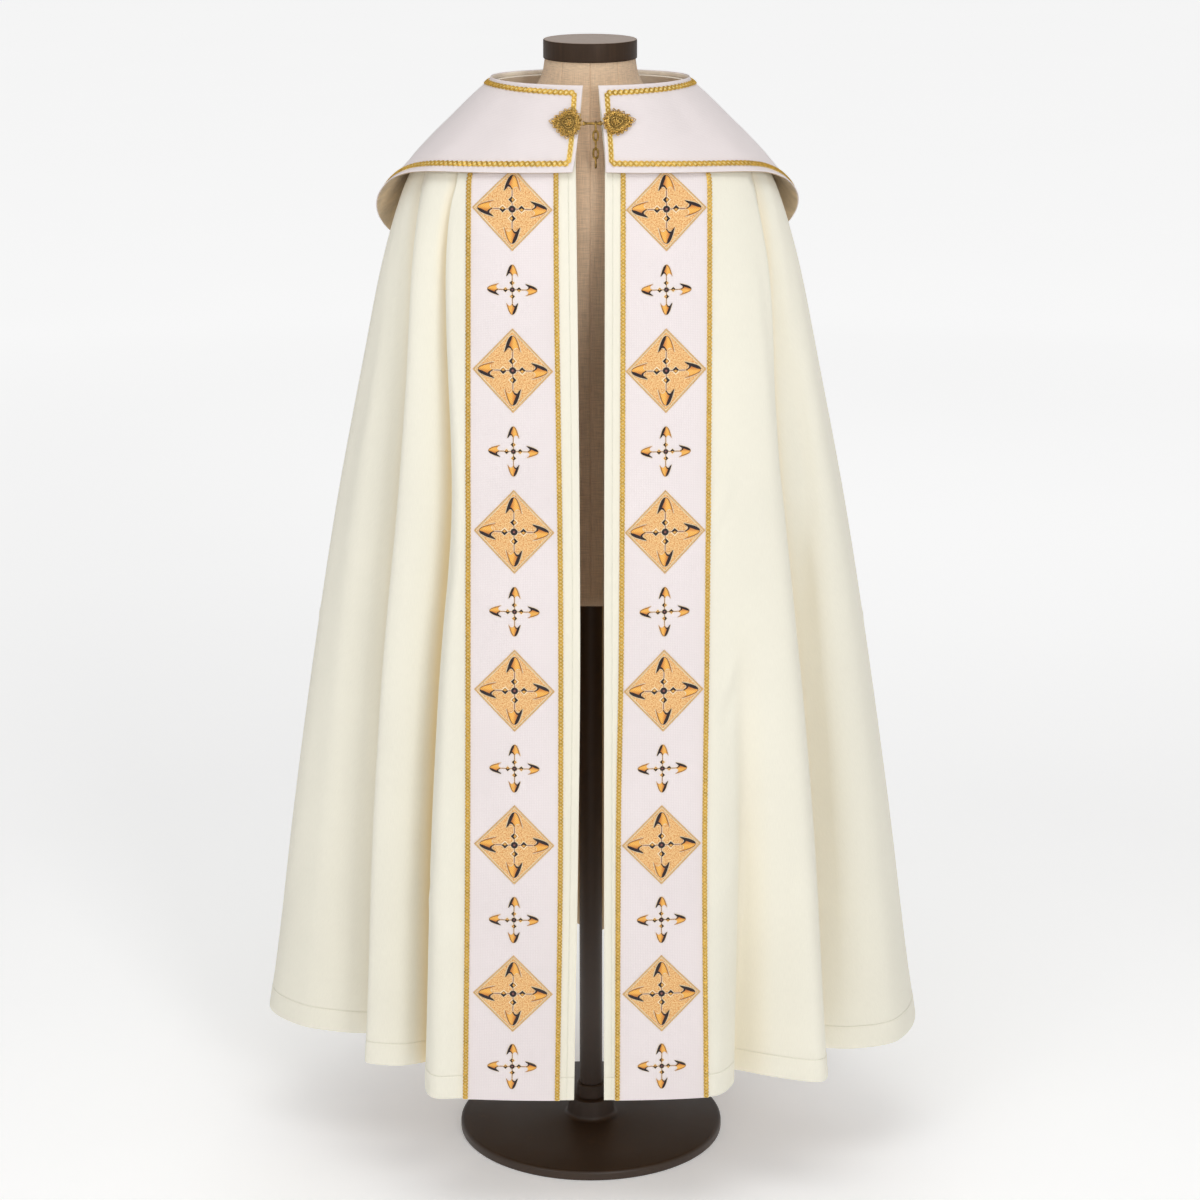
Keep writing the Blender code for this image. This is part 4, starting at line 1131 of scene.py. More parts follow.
def fold_tone(bearings, height):
    """How far down a fold the cloth is, from 0 on its crest to 1 at its bottom, which sets the painted shade
    in the folds.
    """
    around = np.linspace(0.0, 360.0, 721)
    reach = np.hypot(*folded_row(around, height)[:, :2].T)
    wide = int(FOLD_SPAN * 2.0)
    padded = np.concatenate([reach[-wide - 1:-1], reach, reach[1:wide + 1]])
    level = np.convolve(padded, np.hanning(2 * wide + 1) / wide, "valid")
    sunk = np.clip((level - reach) / FOLD_FULL, 0.0, 1.0)
    sunk = sunk * np.interp(around, *OPEN_FOLD)
    return np.interp(np.asarray(bearings) % 360.0, around, sunk)


def make_gore(gore):
    places = gore_columns(gore, chosen_sizes().cloth_cell)
    outer, inner, laid, painted_shades = [], [], [], []
    fall = 0.0
    last = None
    for height in cloth_levels():
        stations = gore_stations(gore, float(round(height, 6)))
        bearings = np.interp(places, np.arange(len(stations)), stations)
        points, normals = cloth_row(bearings, height)
        painted_shades.append(fold_tone(bearings, height))
        run = travelled(points)
        lift = np.zeros(len(run))
        tuck = np.zeros(len(run))
        for away, front in ((run, "cope_front_left"), (run[-1] - run, "cope_front_right")):
            tuck += np.exp(-away / EDGE_ROUND)
            if gore == front:
                lift -= STITCH_DENT[0] * np.exp(-((away - EDGE_STITCH) / STITCH_DENT[1]) ** 2)
            else:
                lift -= SEAM_DENT[0] * np.exp(-away / SEAM_DENT[1])
        above = height - HEM_Z
        if above < HEM_TURN:
            lift += HEM_SWELL
        lift -= HEM_DENT[0] * math.exp(-((above - HEM_TURN) / HEM_DENT[1]) ** 2)
        tuck = np.minimum(tuck + math.exp(-above / EDGE_ROUND), 1.0) * EDGE_ROUND
        outer.append(points + normals * (lift - tuck)[:, None])
        inner.append(points + normals * (tuck - CLOTH)[:, None])
        if last is not None:
            fall += float(np.median(np.linalg.norm(points - last, axis=1)))
        last = points
        laid.append(spots(run - run[-1] / 2.0, fall))
    pile = Pile()
    pile.shell(outer, inner, laid, 0, 1)
    piece = place(gore, pile, [main_cloth(), cope_lining()], [gore], "cream_cloth")
    # the painted fold shade goes on the points, for the cream's colour
    painted_shade = piece.data.attributes.new("fold_tone", "FLOAT", "POINT")
    painted_shade.data.foreach_set("value", np.tile(np.concatenate(painted_shades), 2).astype(np.float32))
    return piece


# --- stitches ---


def add_stitches(pile, points, normals, length, gap, girth):
    """Short rounded stitches along a line of points on the cloth."""
    run = travelled(points)
    count = int(run[-1] / (length + gap))
    start = (np.arange(count) + 0.5) * (length + gap)
    shares = np.array([-0.5, -0.36, 0.0, 0.36, 0.5])
    swell = np.array([0.15, 0.8, 1.0, 0.8, 0.15])
    places = start[:, None] + shares[None, :] * length

    def along(values):
        return np.stack([np.interp(places, run, values[:, k]) for k in range(3)], axis=-1)

    middle = along(points)
    out = unit(along(normals))
    ahead = unit(middle[:, -1:] - middle[:, :1])
    side = unit(np.cross(np.broadcast_to(ahead, out.shape), out))
    sides = 5
    turn = turns(sides)
    ring = (np.cos(turn)[:, None] * side[:, :, None, :] * girth
            + np.sin(turn)[:, None] * out[:, :, None, :] * girth * 0.7) * swell[None, :, None, None]
    vertices = middle[:, :, None, :] + ring
    block = len(shares) * sides
    quads, caps = ring_faces(len(shares), sides)
    shift = (np.arange(count) * block)[:, None, None]
    laid = np.zeros((count, len(shares), sides, 2))
    laid[..., 0] = np.cos(turn) * girth
    laid[..., 1] = places[:, :, None]
    pile.add(vertices, (quads[None] + shift).reshape(-1, 4), laid)
    pile.add_caps((caps[None] + shift).reshape(-1, 3), pile.count - count * block)


STITCH_GIRTH = 0.00032   # half the thickness of the front edges' stitches
HEM_GIRTH = 0.0003       # and of the hem's


def make_stitching():
    """Topstitching down both front edges, and the hem's line of stitches."""
    stitch = chosen_sizes().stitch_length
    fronts, hems = Pile(), Pile()
    for side in ("left", "right"):
        levels = np.linspace(HEM_Z + 0.004, 1.385, 500)
        edge = front_line(side, "edge", levels)
        points, normals = flat_front(side).lay(edge + EDGE_STITCH, levels, -0.0001)
        add_stitches(fronts, points, normals, stitch, stitch * 0.45, STITCH_GIRTH)
    level = HEM_Z + HEM_TURN
    for gore in GORES:
        stations = gore_stations(gore, float(round(level, 6)))
        inset = 0.12
        places = np.linspace(inset, len(stations) - 1 - inset, 1600)
        points, normals = cloth_row(np.interp(places, np.arange(len(stations)), stations), level)
        add_stitches(hems, points - normals * 0.0002, normals, stitch, stitch * 0.6, HEM_GIRTH)
    return [place(name, pile, [thread("cream_sewing_thread")], (), "cream_cloth")
            for name, pile in (("front_topstitching", fronts), ("hem_stitching", hems))]


# --- orphreys, braid ---

BAND_FOOT = SEAM_GAP
BAND_FACE = SEAM_GAP + BAND_CLOTH
BRAID_FOOT = BAND_FACE + SEAM_GAP


def make_orphrey(side):
    front = flat_front(side)
    levels = np.linspace(HEM_Z, BAND_TOP_Z, 220)
    half = BRAID_WIDTH / 2.0
    inner = front.line("inner", levels) - half
    outer = front.line("outer", levels) + half
    distance = inner[:, None] + (outer - inner)[:, None] * np.linspace(0.0, 1.0, 24)
    height = levels[:, None]
    face, _ = front.lay(distance, height, BAND_FACE)
    foot, _ = front.lay(distance, height, BAND_FOOT)
    pile = Pile()
    pile.shell(face, foot, spots(distance, front.rise_of(height)))
    return place("orphrey_" + side, pile, [white_cloth()], ["orphrey_" + side], "white_cloth")


def add_plait(pile, lay, length, pitch, half_width, girth, pair):
    """Two strands that twist round each other like a rope, pressed flat.

    lay gives points and normals for runs along the line, offsets across it and lifts;
    pair is the offset of a strand's two threads from its middle, or 0 for one thread."""
    loops = max(1, int(round(length / pitch)))
    along = np.linspace(0.0, length, loops * 6 + 1)
    for strand in (0.0, math.pi):
        angle = along / length * math.pi * loops + strand
        across = half_width * np.sin(angle)
        lean = half_width * np.cos(angle) * math.pi * loops / length
        norm = np.sqrt(1.0 + lean ** 2)
        for offset in ((-pair, pair) if pair else (0.0,)):
            run = np.clip(along - offset * lean / norm, 0.0, length)
            path, out = lay(run, across + offset / norm, girth * (0.95 + 0.7 * np.cos(angle)))
            pile.tube(path, out, girth, 5)


GROUND_THICK = 0.0006        # thickness of a braid's flat ground
BRAID_END = 0.0012           # how far short of an orphrey's ends its braid stops


def braid_ribbon(pile, points, normals, half_width, foot):
    """The flat ground of a braid along a line on the cloth."""
    ahead = unit(np.gradient(points, axis=0))
    side = unit(np.cross(ahead, normals))
    run = travelled(points)
    shares = np.array([-1.0, -0.6, 0.0, 0.6, 1.0])
    crown = np.array([0.0, 0.8, 1.0, 0.8, 0.0]) * GROUND_THICK * 0.5
    across = points[:, None, :] + side[:, None, :] * (shares * half_width)[None, :, None]
    top = across + normals[:, None, :] * (foot + GROUND_THICK * 0.5 + crown)[None, :, None]
    low = across + normals[:, None, :] * foot
    pile.shell(top, low, spots(shares * half_width, run[:, None]), 1)


def make_orphrey_braid(side, line):
    sizes = chosen_sizes()
    front = flat_front(side)
    pile = Pile()
    levels = np.linspace(HEM_Z + 0.0004, BAND_TOP_Z - 0.0004, 420)
    points, normals = front.lay(front.line(line, levels), levels)
    braid_ribbon(pile, points, normals, 0.0031, BRAID_FOOT)
    low, high = float(front.rise_of(HEM_Z)), float(front.rise_of(BAND_TOP_Z))

    def lay(along, across, lift):
        height = front.level_of(low + BRAID_END + along)
        return front.lay(front.line(line, height) + across, height, BRAID_FOOT + 0.0003 + lift)

    girth = sizes.braid_thread * 1.35
    add_plait(pile, lay, high - low - 2.0 * BRAID_END, sizes.braid_pitch * 0.66,
              BRAID_WIDTH / 2.0 - girth, girth, 0.0)
    name = "braid_%s_%s" % (side, line)
    return place(name, pile, [gold_thread(), gold_ground()], [name], "gold_braid")


# --- embroidery ---

LOZENGE_COUNT = 6
FIRST_LOZENGE_Z = 1.3345     # level of the first lozenge's middle
LOZENGE_STEP = 0.2045        # from one lozenge to the next, along the cloth
LOZENGE_RISE = 1.045         # a lozenge's height over its width
SMALL_CROSS = 0.715          # size of the crosses between the lozenges
PALE_LINE = (0.0042, 0.0034, 0.0026)   # the pale line inside a lozenge's edge, from its edge
EDGE_CORD = 0.0011           # half the thickness of the beaded cord on a lozenge's edge
PATCH_FOOT = BAND_FACE + 0.00004
PATCH_THICK = 0.0003


def add_patch(pile, front, rise, across, up, foot, thick, laid, finish=0):
    """A thin patch of stitches on an orphrey: across and up are grids of offsets."""
    base, normals = front.lay_on_band(rise, across, up)
    face = base + normals * (foot + thick)[..., None]
    back = base + normals * np.full(np.shape(thick), foot)[..., None]
    pile.shell(face, back, laid, finish)


def lozenge_grid(half_width, half_height, cells):
    """Offsets of a lozenge: its grid runs along its own sloping sides."""
    share = np.linspace(-1.0, 1.0, cells + 1)
    first, second = np.meshgrid(share, share, indexing="ij")
    return (first - second) / 2.0 * half_width, (first + second) / 2.0 * half_height


def turned_by(across, up, quarter):
    for _ in range(quarter):
        across, up = up, -across
    return across, up


# The cross's own sizes, in millimetres at the full size.
CROSS_TIP = 44.1         # from the middle to the end of a bud
BUD_LENGTH = 20.4
PALE_EDGE = 0.9
BEAD_AT = 12.0
BEAD_REACH = 4.7
# How wide a bud's dark and amber flanks are, over shares of the way out from its tip.
DARK_FLANK = ((0.0, 0.15, 0.4, 0.7, 0.9, 1.0), (0.8, 2.2, 3.9, 4.1, 3.0, 0.5))
AMBER_FLANK = ((0.0, 0.4, 0.8, 1.0), (0.4, 1.1, 1.3, 0.3))
# A bud is measured down from its tip, in shares of its length, at a share of its half
# width out from its middle.
ARCH_POWER = 2.3         # how round the bud's arch is
HOLLOW = 0.745           # level of the two hollows in its foot
HOLLOW_AT = 0.45         # how far out the hollows stand


def bud_arch(side):
    return np.abs(side) ** ARCH_POWER


def bud_foot(side):
    out = np.abs(side)
    inner = np.maximum(HOLLOW_AT - out, 0.0) / HOLLOW_AT
    outer = np.maximum(out - HOLLOW_AT, 0.0) / (1.0 - HOLLOW_AT)
    return HOLLOW + (1.0 - HOLLOW) * (inner ** 2.5 + outer ** 2.0)


class Motif:
    """Lays small stitched patches round a middle on an orphrey, a quarter turn at a time."""

    def __init__(self, pile, front, rise, foot, scale):
        self.pile, self.front, self.rise = pile, front, rise
        self.foot, self.scale = foot, scale
        self.quarter = 0

    def lay(self, across, along, laid, finish, thick, lift=0.0):
        """A patch whose across and along are in millimetres at the full size."""
        across, up = turned_by(across * 0.001 * self.scale, along * 0.001 * self.scale, self.quarter)
        add_patch(self.pile, self.front, self.rise, across, up, self.foot + lift,
                  np.broadcast_to(thick, across.shape), laid, finish)

    def stroke(self, first, second, finish, thick, lift=0.0):
        """A band of stitches between two lines of (across, along) points."""
        grid = np.array([first, second], float)
        self.lay(grid[..., 0], grid[..., 1], grid * 0.001, finish, thick, lift)


BUD, CORD, DARK, LINK, AMBER = range(5)      # finishes of a cross


def add_bud(motif):
    """A pointed bud with a three-pointed foot: dark down one flank, amber down the other."""
    tip, length, half = CROSS_TIP, BUD_LENGTH, BUD_LENGTH / 2.0
    side = np.sin(np.linspace(-0.5, 0.5, 15) * np.pi)[None, :]
    share = np.linspace(0.0, 1.0, 7)[:, None]
    down = bud_arch(side) + (bud_foot(side) - bud_arch(side)) * share
    side = np.broadcast_to(side, down.shape)
    share = np.broadcast_to(share, down.shape)
    laid = spots((side + 1.0) / 2.0, 1.0 - down)
    spread = 1.0 + PALE_EDGE / half
    grown = down * length + np.where(share > 0.5, PALE_EDGE, -PALE_EDGE)
    motif.lay(side * half * spread, tip - grown, laid * 0.02, CORD, 0.00024)
    dome = (1.0 - side ** 2) * np.sin(np.pi * np.clip(share, 0.05, 0.95))
    motif.lay(side * half, tip - down * length, laid, BUD, 0.0003 + 0.0005 * dome, 0.0002)
    for sign, girths, finish in ((-1.0, DARK_FLANK, DARK), (1.0, AMBER_FLANK, AMBER)):
        out = np.sin(np.linspace(0.0, 0.5, 10) * np.pi)
        edge = spots(sign * out * half, tip - bud_arch(out) * length)
        ahead = np.gradient(edge, axis=0)
        inward = unit(spots(sign * ahead[:, 1], -sign * ahead[:, 0]))
        girth = np.interp(out, *girths)
        motif.stroke(edge, edge + inward * girth[:, None], finish, 0.0008, 0.0002)
    side = np.linspace(-0.90, 0.05, 10)
    edge = spots(side * half, tip - bud_foot(side) * length)
    rise = np.interp(side, [-0.90, -0.5, 0.0, 0.05], [1.0, 2.3, 2.2, 1.2])
    motif.stroke(edge, edge + spots(0.0, rise), DARK, 0.0008, 0.0002)


def add_bead(motif):
    """A small diamond bead on an arm: a dark chevron against a light half."""
    far = BEAD_REACH
    for reach, finish, thick in ((far + 1.0, CORD, 0.00024), (far - 1.0, BUD, 0.0004)):
        across, along = lozenge_grid(reach, reach, 2)
        laid = spots(0.0 * across + 0.62, 0.5)
        motif.lay(across, BEAD_AT + along, laid, finish, thick)
    for sign, reach, girth, finish in ((-1.0, far, 3.5, DARK), (1.0, far - 0.9, 1.1, AMBER)):
        lines = [[(0.0, BEAD_AT - far_out), (sign * far_out, BEAD_AT), (0.0, BEAD_AT + far_out)]
                 for far_out in (reach, reach - girth)]
        motif.stroke(*lines, finish, 0.0006, 0.0001)


def add_disc(motif, radii, thicks, finish, lift=0.0):
    turn, radius = np.meshgrid(np.linspace(0.0, 2.0 * np.pi, 25), radii, indexing="xy")
    laid = spots(radius * 0.001, turn * 0.002)
    motif.lay(radius * np.cos(turn), radius * np.sin(turn), laid, finish, np.array(thicks)[:, None], lift)


def add_cross(pile, front, rise, tip, foot):
    """A cross of four bud-ended arms round a small dark ring."""
    motif = Motif(pile, front, rise, foot, tip * 1000.0 / CROSS_TIP)
    for quarter in range(4):
        motif.quarter = quarter
        for start, end in ((4.2, BEAD_AT - 4.4), (BEAD_AT + 4.4, CROSS_TIP - BUD_LENGTH + 0.5)):
            along = np.linspace(start, end, 4)
            for wide, finish, thick in ((1.3, CORD, 0.0002), (0.5, LINK, 0.0004)):
                motif.stroke(spots(-wide, along), spots(wide, along), finish, thick)
        add_bud(motif)
        add_bead(motif)
    motif.quarter = 0
    add_disc(motif, [0.2, 5.2], [0.00024, 0.0002], CORD)
    add_disc(motif, [1.3, 2.2, 3.4, 4.4], [0.0003, 0.0009, 0.0009, 0.0003], DARK, 0.0001)
    add_disc(motif, [0.05, 0.9, 1.6], [0.0007, 0.0006, 0.0003], LINK, 0.0001)


def add_edge_cord(pile, front, rise, half, tall, ring):
    """A small beaded cord round a lozenge's edge."""
    beads = 20
    share = np.linspace(0.0, 1.0, beads * 3, endpoint=False)[:, None]
    line = np.concatenate([a + (b - a) * share for a, b in zip(ring[:-1], ring[1:])])
    across, up = line[:, 0] * (half - EDGE_CORD), line[:, 1] * (tall - EDGE_CORD)
    path, out = front.lay_on_band(rise, across, up, PATCH_FOOT + PATCH_THICK)
    swell = np.tile([0.55, 1.0, 1.0], len(path) // 3)
    pile.tube(path, out, EDGE_CORD * swell, 5, True, finish=2, flat=0.7)


def make_embroidery(side):
    sizes = chosen_sizes()
    front = flat_front(side)
    fields, crosses = Pile(), Pile()
    half = sizes.lozenge_width / 2.0
    tall = half * LOZENGE_RISE
    ring = np.array([(0, 1), (1, 0), (0, -1), (-1, 0), (0, 1)], float)
    first = float(front.rise_of(FIRST_LOZENGE_Z))
    for k in range(LOZENGE_COUNT):
        rise = first - k * LOZENGE_STEP
        across, up = lozenge_grid(half, tall, 22)
        add_patch(fields, front, rise, across, up, PATCH_FOOT, np.full(across.shape, PATCH_THICK),
                  spots(across, up + k * 0.3))
        line = np.concatenate([a + (b - a) * np.linspace(0, 1, 12, endpoint=False)[:, None]
                               for a, b in zip(ring[:-1], ring[1:])] + [ring[-1:]])
        shares = 1.0 - np.array(PALE_LINE) / half
        across = line[:, 0][:, None] * shares * half
        up = line[:, 1][:, None] * shares * tall
        thick = np.broadcast_to(np.array([0.0001, 0.0005, 0.0001]), across.shape) + 0.0001
        add_patch(fields, front, rise, across, up, PATCH_FOOT + PATCH_THICK, thick,
                  spots(across, up), 1)
        add_edge_cord(fields, front, rise, half, tall, ring)
        add_cross(crosses, front, rise, sizes.cross_reach, PATCH_FOOT + PATCH_THICK + 0.00004)
        add_cross(crosses, front, rise - LOZENGE_STEP / 2.0, sizes.cross_reach * SMALL_CROSS,
                  PATCH_FOOT)
    ground = [thread(name) for name in ("field_seed_stitch", "pale_edge_cord", "peach_edge_cord")]
    arms = [thread(name) for name in ("pale_edge_cord", "dark_thread", "link_thread", "amber_thread")]
    return (place("embroidered_lozenges_" + side, fields, ground),
            place("embroidered_crosses_" + side, crosses, [bud_thread(), *arms]))


# --- the collar ---

# Soft dents and swells of the stiff collar: place as shares across and down.
Swell = namedtuple("Swell", "across down wide tall depth")
COLLAR_SWELLS = rows(
    Swell,
    (0.07, 0.55, 0.030, 0.30, 0.0012),
    (0.135, 0.45, 0.022, 0.35, -0.0020),
    (0.17, 0.80, 0.020, 0.22, 0.0022),
    (0.235, 0.60, 0.020, 0.40, -0.0022),
    (0.30, 0.75, 0.026, 0.30, 0.0028),
    (0.36, 0.55, 0.022, 0.40, -0.0020),
    (0.43, 0.80, 0.028, 0.30, 0.0026),
    (0.50, 0.60, 0.024, 0.45, -0.0018),
    (0.57, 0.75, 0.026, 0.30, 0.0026),
    (0.64, 0.60, 0.022, 0.40, -0.0020),
    (0.70, 0.80, 0.024, 0.28, 0.0026),
    (0.765, 0.55, 0.020, 0.36, -0.0018),
    (0.83, 0.78, 0.022, 0.22, 0.0022),
    (0.865, 0.38, 0.020, 0.26, -0.0022),
    (0.93, 0.50, 0.030, 0.30, 0.0012),
)


CLOSE_STEPS = np.array([0.0, 0.0006, 0.0018, 0.0045])    # close rows by the collar's edges
COLLAR_WIDE, COLLAR_TALL = 2.0, 0.2      # its rough size, to turn those steps into shares
BRAID_PRESS = (0.00025, 0.006)   # how far its braid presses the cloth in, and over what width
RIPPLES = (0.031, 0.055, 0.047)  # lengths of the lining's ripples


def collar_edge(bearing, name):
    value = table_curve(COLLAR_EDGE, name, "bearing")(np.minimum(bearing, 360.0 - bearing))
    if name == "height":
        value = value - LEFT_WING_SAG * np.exp(-((bearing - LEFT_WING_BEARING) / LEFT_WING_SPREAD) ** 2)
    return value


def plain_point(bearing, height):
    return on_section(bearing, plain_radius(bearing, height), height)


def collar_point(across, down, lift=0.0):
    """Points of the collar and their normals: across runs 0 to 1 from its left front
    edge, down from the neckline to the lower edge."""
    across, down = np.broadcast_arrays(np.asarray(across, float), np.asarray(down, float))
    left, right = (top + (foot - top) * down for top, foot in zip(COLLAR_FRONT_TOP, COLLAR_FRONT_FOOT))
    front_height = COLLAR_NECK_Z + (COLLAR_EDGE[0].height - COLLAR_NECK_Z) * down
    front_height = np.minimum(front_height, NECK_Z)
    start = front_bearing(left, front_height)
    end = 360.0 - front_bearing(right, front_height)
    bearing = start + (end - start) * across
    height = COLLAR_NECK_Z + (collar_edge(bearing, "height") - COLLAR_NECK_Z) * down
    settle = 1.0 - (1.0 - np.minimum(down / 0.25, 1.0)) ** 2
    stand = COLLAR_NECK_STAND + (COLLAR_STAND - COLLAR_NECK_STAND) * settle
    stand = stand + (collar_edge(bearing, "flare") - COLLAR_STAND) * down ** COLLAR_FLARE_POWER
    for swell in COLLAR_SWELLS:
        far = ((across - swell.across) / swell.wide) ** 2 + ((down - swell.down) / swell.tall) ** 2
        stand = stand + swell.depth * np.exp(-far)
    sample = np.minimum(height, NECK_Z)
    around = plain_point(bearing + 0.2, sample) - plain_point(bearing - 0.2, sample)
    low, high = (np.clip(sample + step, HEM_Z, NECK_Z) for step in (-NORMAL_STEP, NORMAL_STEP))
    normals = unit(np.cross(plain_point(bearing, high) - plain_point(bearing, low), around))
    points = plain_point(bearing, sample) + normals * (stand + lift)[..., None]
    points[..., 2] += height - sample
    points[..., 0] += COLLAR_SHIFT_X * down ** COLLAR_FLARE_POWER
    return points, normals


@made_once
def collar_measures():
    """The collar's fall along each share across, and its girth along each share down."""
    steps = np.linspace(0.0, 1.0, 49)
    falls = [lengths(collar_point(across, steps)[0]) for across in steps]
    girths = [lengths(collar_point(np.linspace(0.0, 1.0, 400), down)[0]) for down in steps]
    return steps, np.array(falls), np.array(girths)


def fall_at(across):
    steps, falls, _ = collar_measures()
    return np.interp(across, steps, falls)


def girth_at(down):
    steps, _, girths = collar_measures()
    return np.interp(down, steps, girths)


def edge_shares(count, near):
    """Shares from 0 to 1 with close steps by both ends."""
    return np.concatenate([near, np.linspace(near[-1], 1.0 - near[-1], count)[1:-1], 1.0 - near[::-1]])


def make_collar_wall(name, face, thickness, finish, slot, ripple=0.0):
    across = edge_shares(230, CLOSE_STEPS / COLLAR_WIDE)
    down = edge_shares(30, CLOSE_STEPS / COLLAR_TALL)
    share_down, share_across = np.meshgrid(down, across, indexing="ij")
    fall = fall_at(share_across)
    from_top = share_down * fall
    from_foot = (1.0 - share_down) * fall
    girth = girth_at(share_down)
    from_side = np.minimum(share_across, 1.0 - share_across) * girth
    nearest = np.minimum(np.minimum(from_top, from_foot), from_side)
    tuck = 0.45 * thickness * np.exp(-nearest / 0.0006)
    press = BRAID_PRESS[0] * np.exp(-((nearest - COLLAR_BRAID_INSET) / BRAID_PRESS[1]) ** 2)
    run = share_across * girth
    sway = ripple * (sine(run + 0.4 * from_top, RIPPLES[0]) * sine(from_foot, RIPPLES[1])
                     + 0.6 * sine(run - 0.9 * from_top, RIPPLES[2]))
    sway = np.minimum(sway, 0.0) * np.clip(nearest / 0.02, 0.0, 1.0)
    outer, _ = collar_point(share_across, share_down, face - tuck - press)
    inner, _ = collar_point(share_across, share_down, face - thickness + tuck - press + sway)
    pile = Pile()
    pile.shell(outer, inner, spots((share_across - 0.5) * girth, from_top))
    return place(name, pile, [finish], [name], slot)


def make_collar():
    collar = make_collar_wall("collar", 0.0, COLLAR_CLOTH, white_cloth(), "white_cloth")
    lining = make_collar_wall("collar_lining", -COLLAR_CLOTH - SEAM_GAP, LINING_CLOTH,
                              collar_satin(), "collar_lining", ripple=0.0005)
    return collar, lining


def braid_runs():
    """The four straight runs of the collar's braid, as functions of share and offset.

    Each gives across and down for a share along the run and an offset to its side."""
    inset = COLLAR_BRAID_INSET

    def level_run(by_foot):
        def down_at(across, inside):
            share = inside / fall_at(across)
            return 1.0 - share if by_foot else share

        def place_on(share, offset):
            margin = inset / girth_at(down_at(share, inset))
            across = margin + (1.0 - 2.0 * margin) * share
            return across, down_at(across, inset + offset)
        return place_on

    def side_run(last):
        def place_on(share, offset):
            fall = fall_at(1.0 if last else 0.0)
            down = (inset + (fall - 2.0 * inset) * share) / fall
            across = (inset + offset) / girth_at(down)
            return (1.0 - across if last else across), down
        return place_on

    return level_run(False), level_run(True), side_run(False), side_run(True)


def make_collar_braid():
    sizes = chosen_sizes()
    pile = Pile()
    fine = np.linspace(0.0, 1.0, 1200)
    for number, run in enumerate(braid_runs()):
        line, normals = collar_point(*run(fine, 0.0))
        travel = travelled(line)
        every = 4 if number < 2 else 20
        over = 0.00006 * number
        braid_ribbon(pile, line[::every] + normals[::every] * over, normals[::every], 0.0033, SEAM_GAP)

        def lay(along, offset, lift, run=run, travel=travel):
            path, out = collar_point(*run(np.interp(along, travel, fine), offset))
            return path + out * (SEAM_GAP + 0.0003 + lift)[:, None], out

        girth = sizes.braid_thread
        add_plait(pile, lay, travel[-1], sizes.braid_pitch, 0.0043 - 2.0 * girth, girth, girth)
    return place("collar_braid", pile, [gold_thread(), gold_ground()], ["collar_braid"], "gold_braid")


# --- the clasp ---


def collar_at(x, height):
    """Across and down of the collar's front at a distance and a height."""
    down = (COLLAR_NECK_Z - height) / (COLLAR_NECK_Z - COLLAR_EDGE[0].height)
    low, high = (0.5, 1.0) if x > 0.0 else (0.0, 0.5)
    for _ in range(30):
        middle = (low + high) / 2.0
        if collar_point(middle, down)[0][..., 0] > x:
            low = middle
        else:
            high = middle
    return (low + high) / 2.0, down


def plate_frame(plate):
    """Middle and axes of a plate: right, up and out of the collar."""
    across, down = collar_at(plate.x, plate.height)
    step = 0.01
    centre, below, above, right, left = (
        collar_point(across + x, down + y)[0]
        for x, y in ((0.0, 0.0), (0.0, step), (0.0, -step), (step, 0.0), (-step, 0.0)))
    fall, along = below - above, right - left
    outside = unit(np.cross(along, fall))
    if outside[1] > 0.0:
        outside = -outside
    up = unit(-fall - outside * np.dot(-fall, outside))
    right = unit(np.cross(up, outside))
    return centre + outside * PLATE_LIFT, np.array([right, up, outside])


class Casting:
    """Adds wires and beads in a plate's own co-ordinates, in millimetres."""

    def __init__(self, pile, plate):
        self.pile = pile
        self.centre, self.axes = plate_frame(plate)
        self.away = 1.0 if plate.x > 0.0 else -1.0

    def out(self, points):
        points = np.array(points, float)
        points[..., 0] *= self.away
        return self.centre + (points * 0.001) @ self.axes

    def wire(self, points, radius, closed=False, sides=6):
        points = self.out(points)
        normals = np.broadcast_to(self.axes[2], points.shape)
        self.pile.tube(points, normals, radius * 0.001, sides, closed)

    def bead(self, x, y, z, radius, squash=1.0, sides=10, rings=6):
        turn = turns(sides)
        rise = np.linspace(-0.96, 0.96, rings) * np.pi / 2.0
        ring = radius * np.cos(rise)[:, None]
        points = spots(x + ring * np.cos(turn), y + ring * np.sin(turn),
                       (z + radius * squash * np.sin(rise))[:, None])
        self.pile.rings(self.out(points), points[..., :2] * 0.001)


def spiral(x, y, z, aim, hand, size, steps=16):
    """A small scroll that curls in from its foot."""
    turn = np.linspace(0.0, 1.0, steps)
    angle = aim + hand * turn * 1.55 * np.pi
    radius = size * (1.0 - 0.78 * turn)
    sway = size * 0.55
    return spots(x + sway * math.cos(aim) + radius * np.cos(angle + math.pi),
                 y + sway * math.sin(aim) + radius * np.sin(angle + math.pi), z)


PLATE_TAPER = 10.0       # how quickly a plate narrows to its tip
LEAF_COUNT = 16
SCROLL_COUNT = 12
PETAL_COUNT = 8


def plate_outline(plate, angle):
    """How far a plate reaches from its middle at an angle, in millimetres; 0 is its tip."""
    wide, tall = plate.half_width * 1000.0, plate.half_height * 1000.0
    oval = 1.0 / np.sqrt((np.cos(angle) / wide) ** 2 + (np.sin(angle) / tall) ** 2)
    aim = np.maximum(np.cos(angle), 0.0)
    return oval + PLATE_TIP * 1000.0 * aim ** PLATE_TAPER


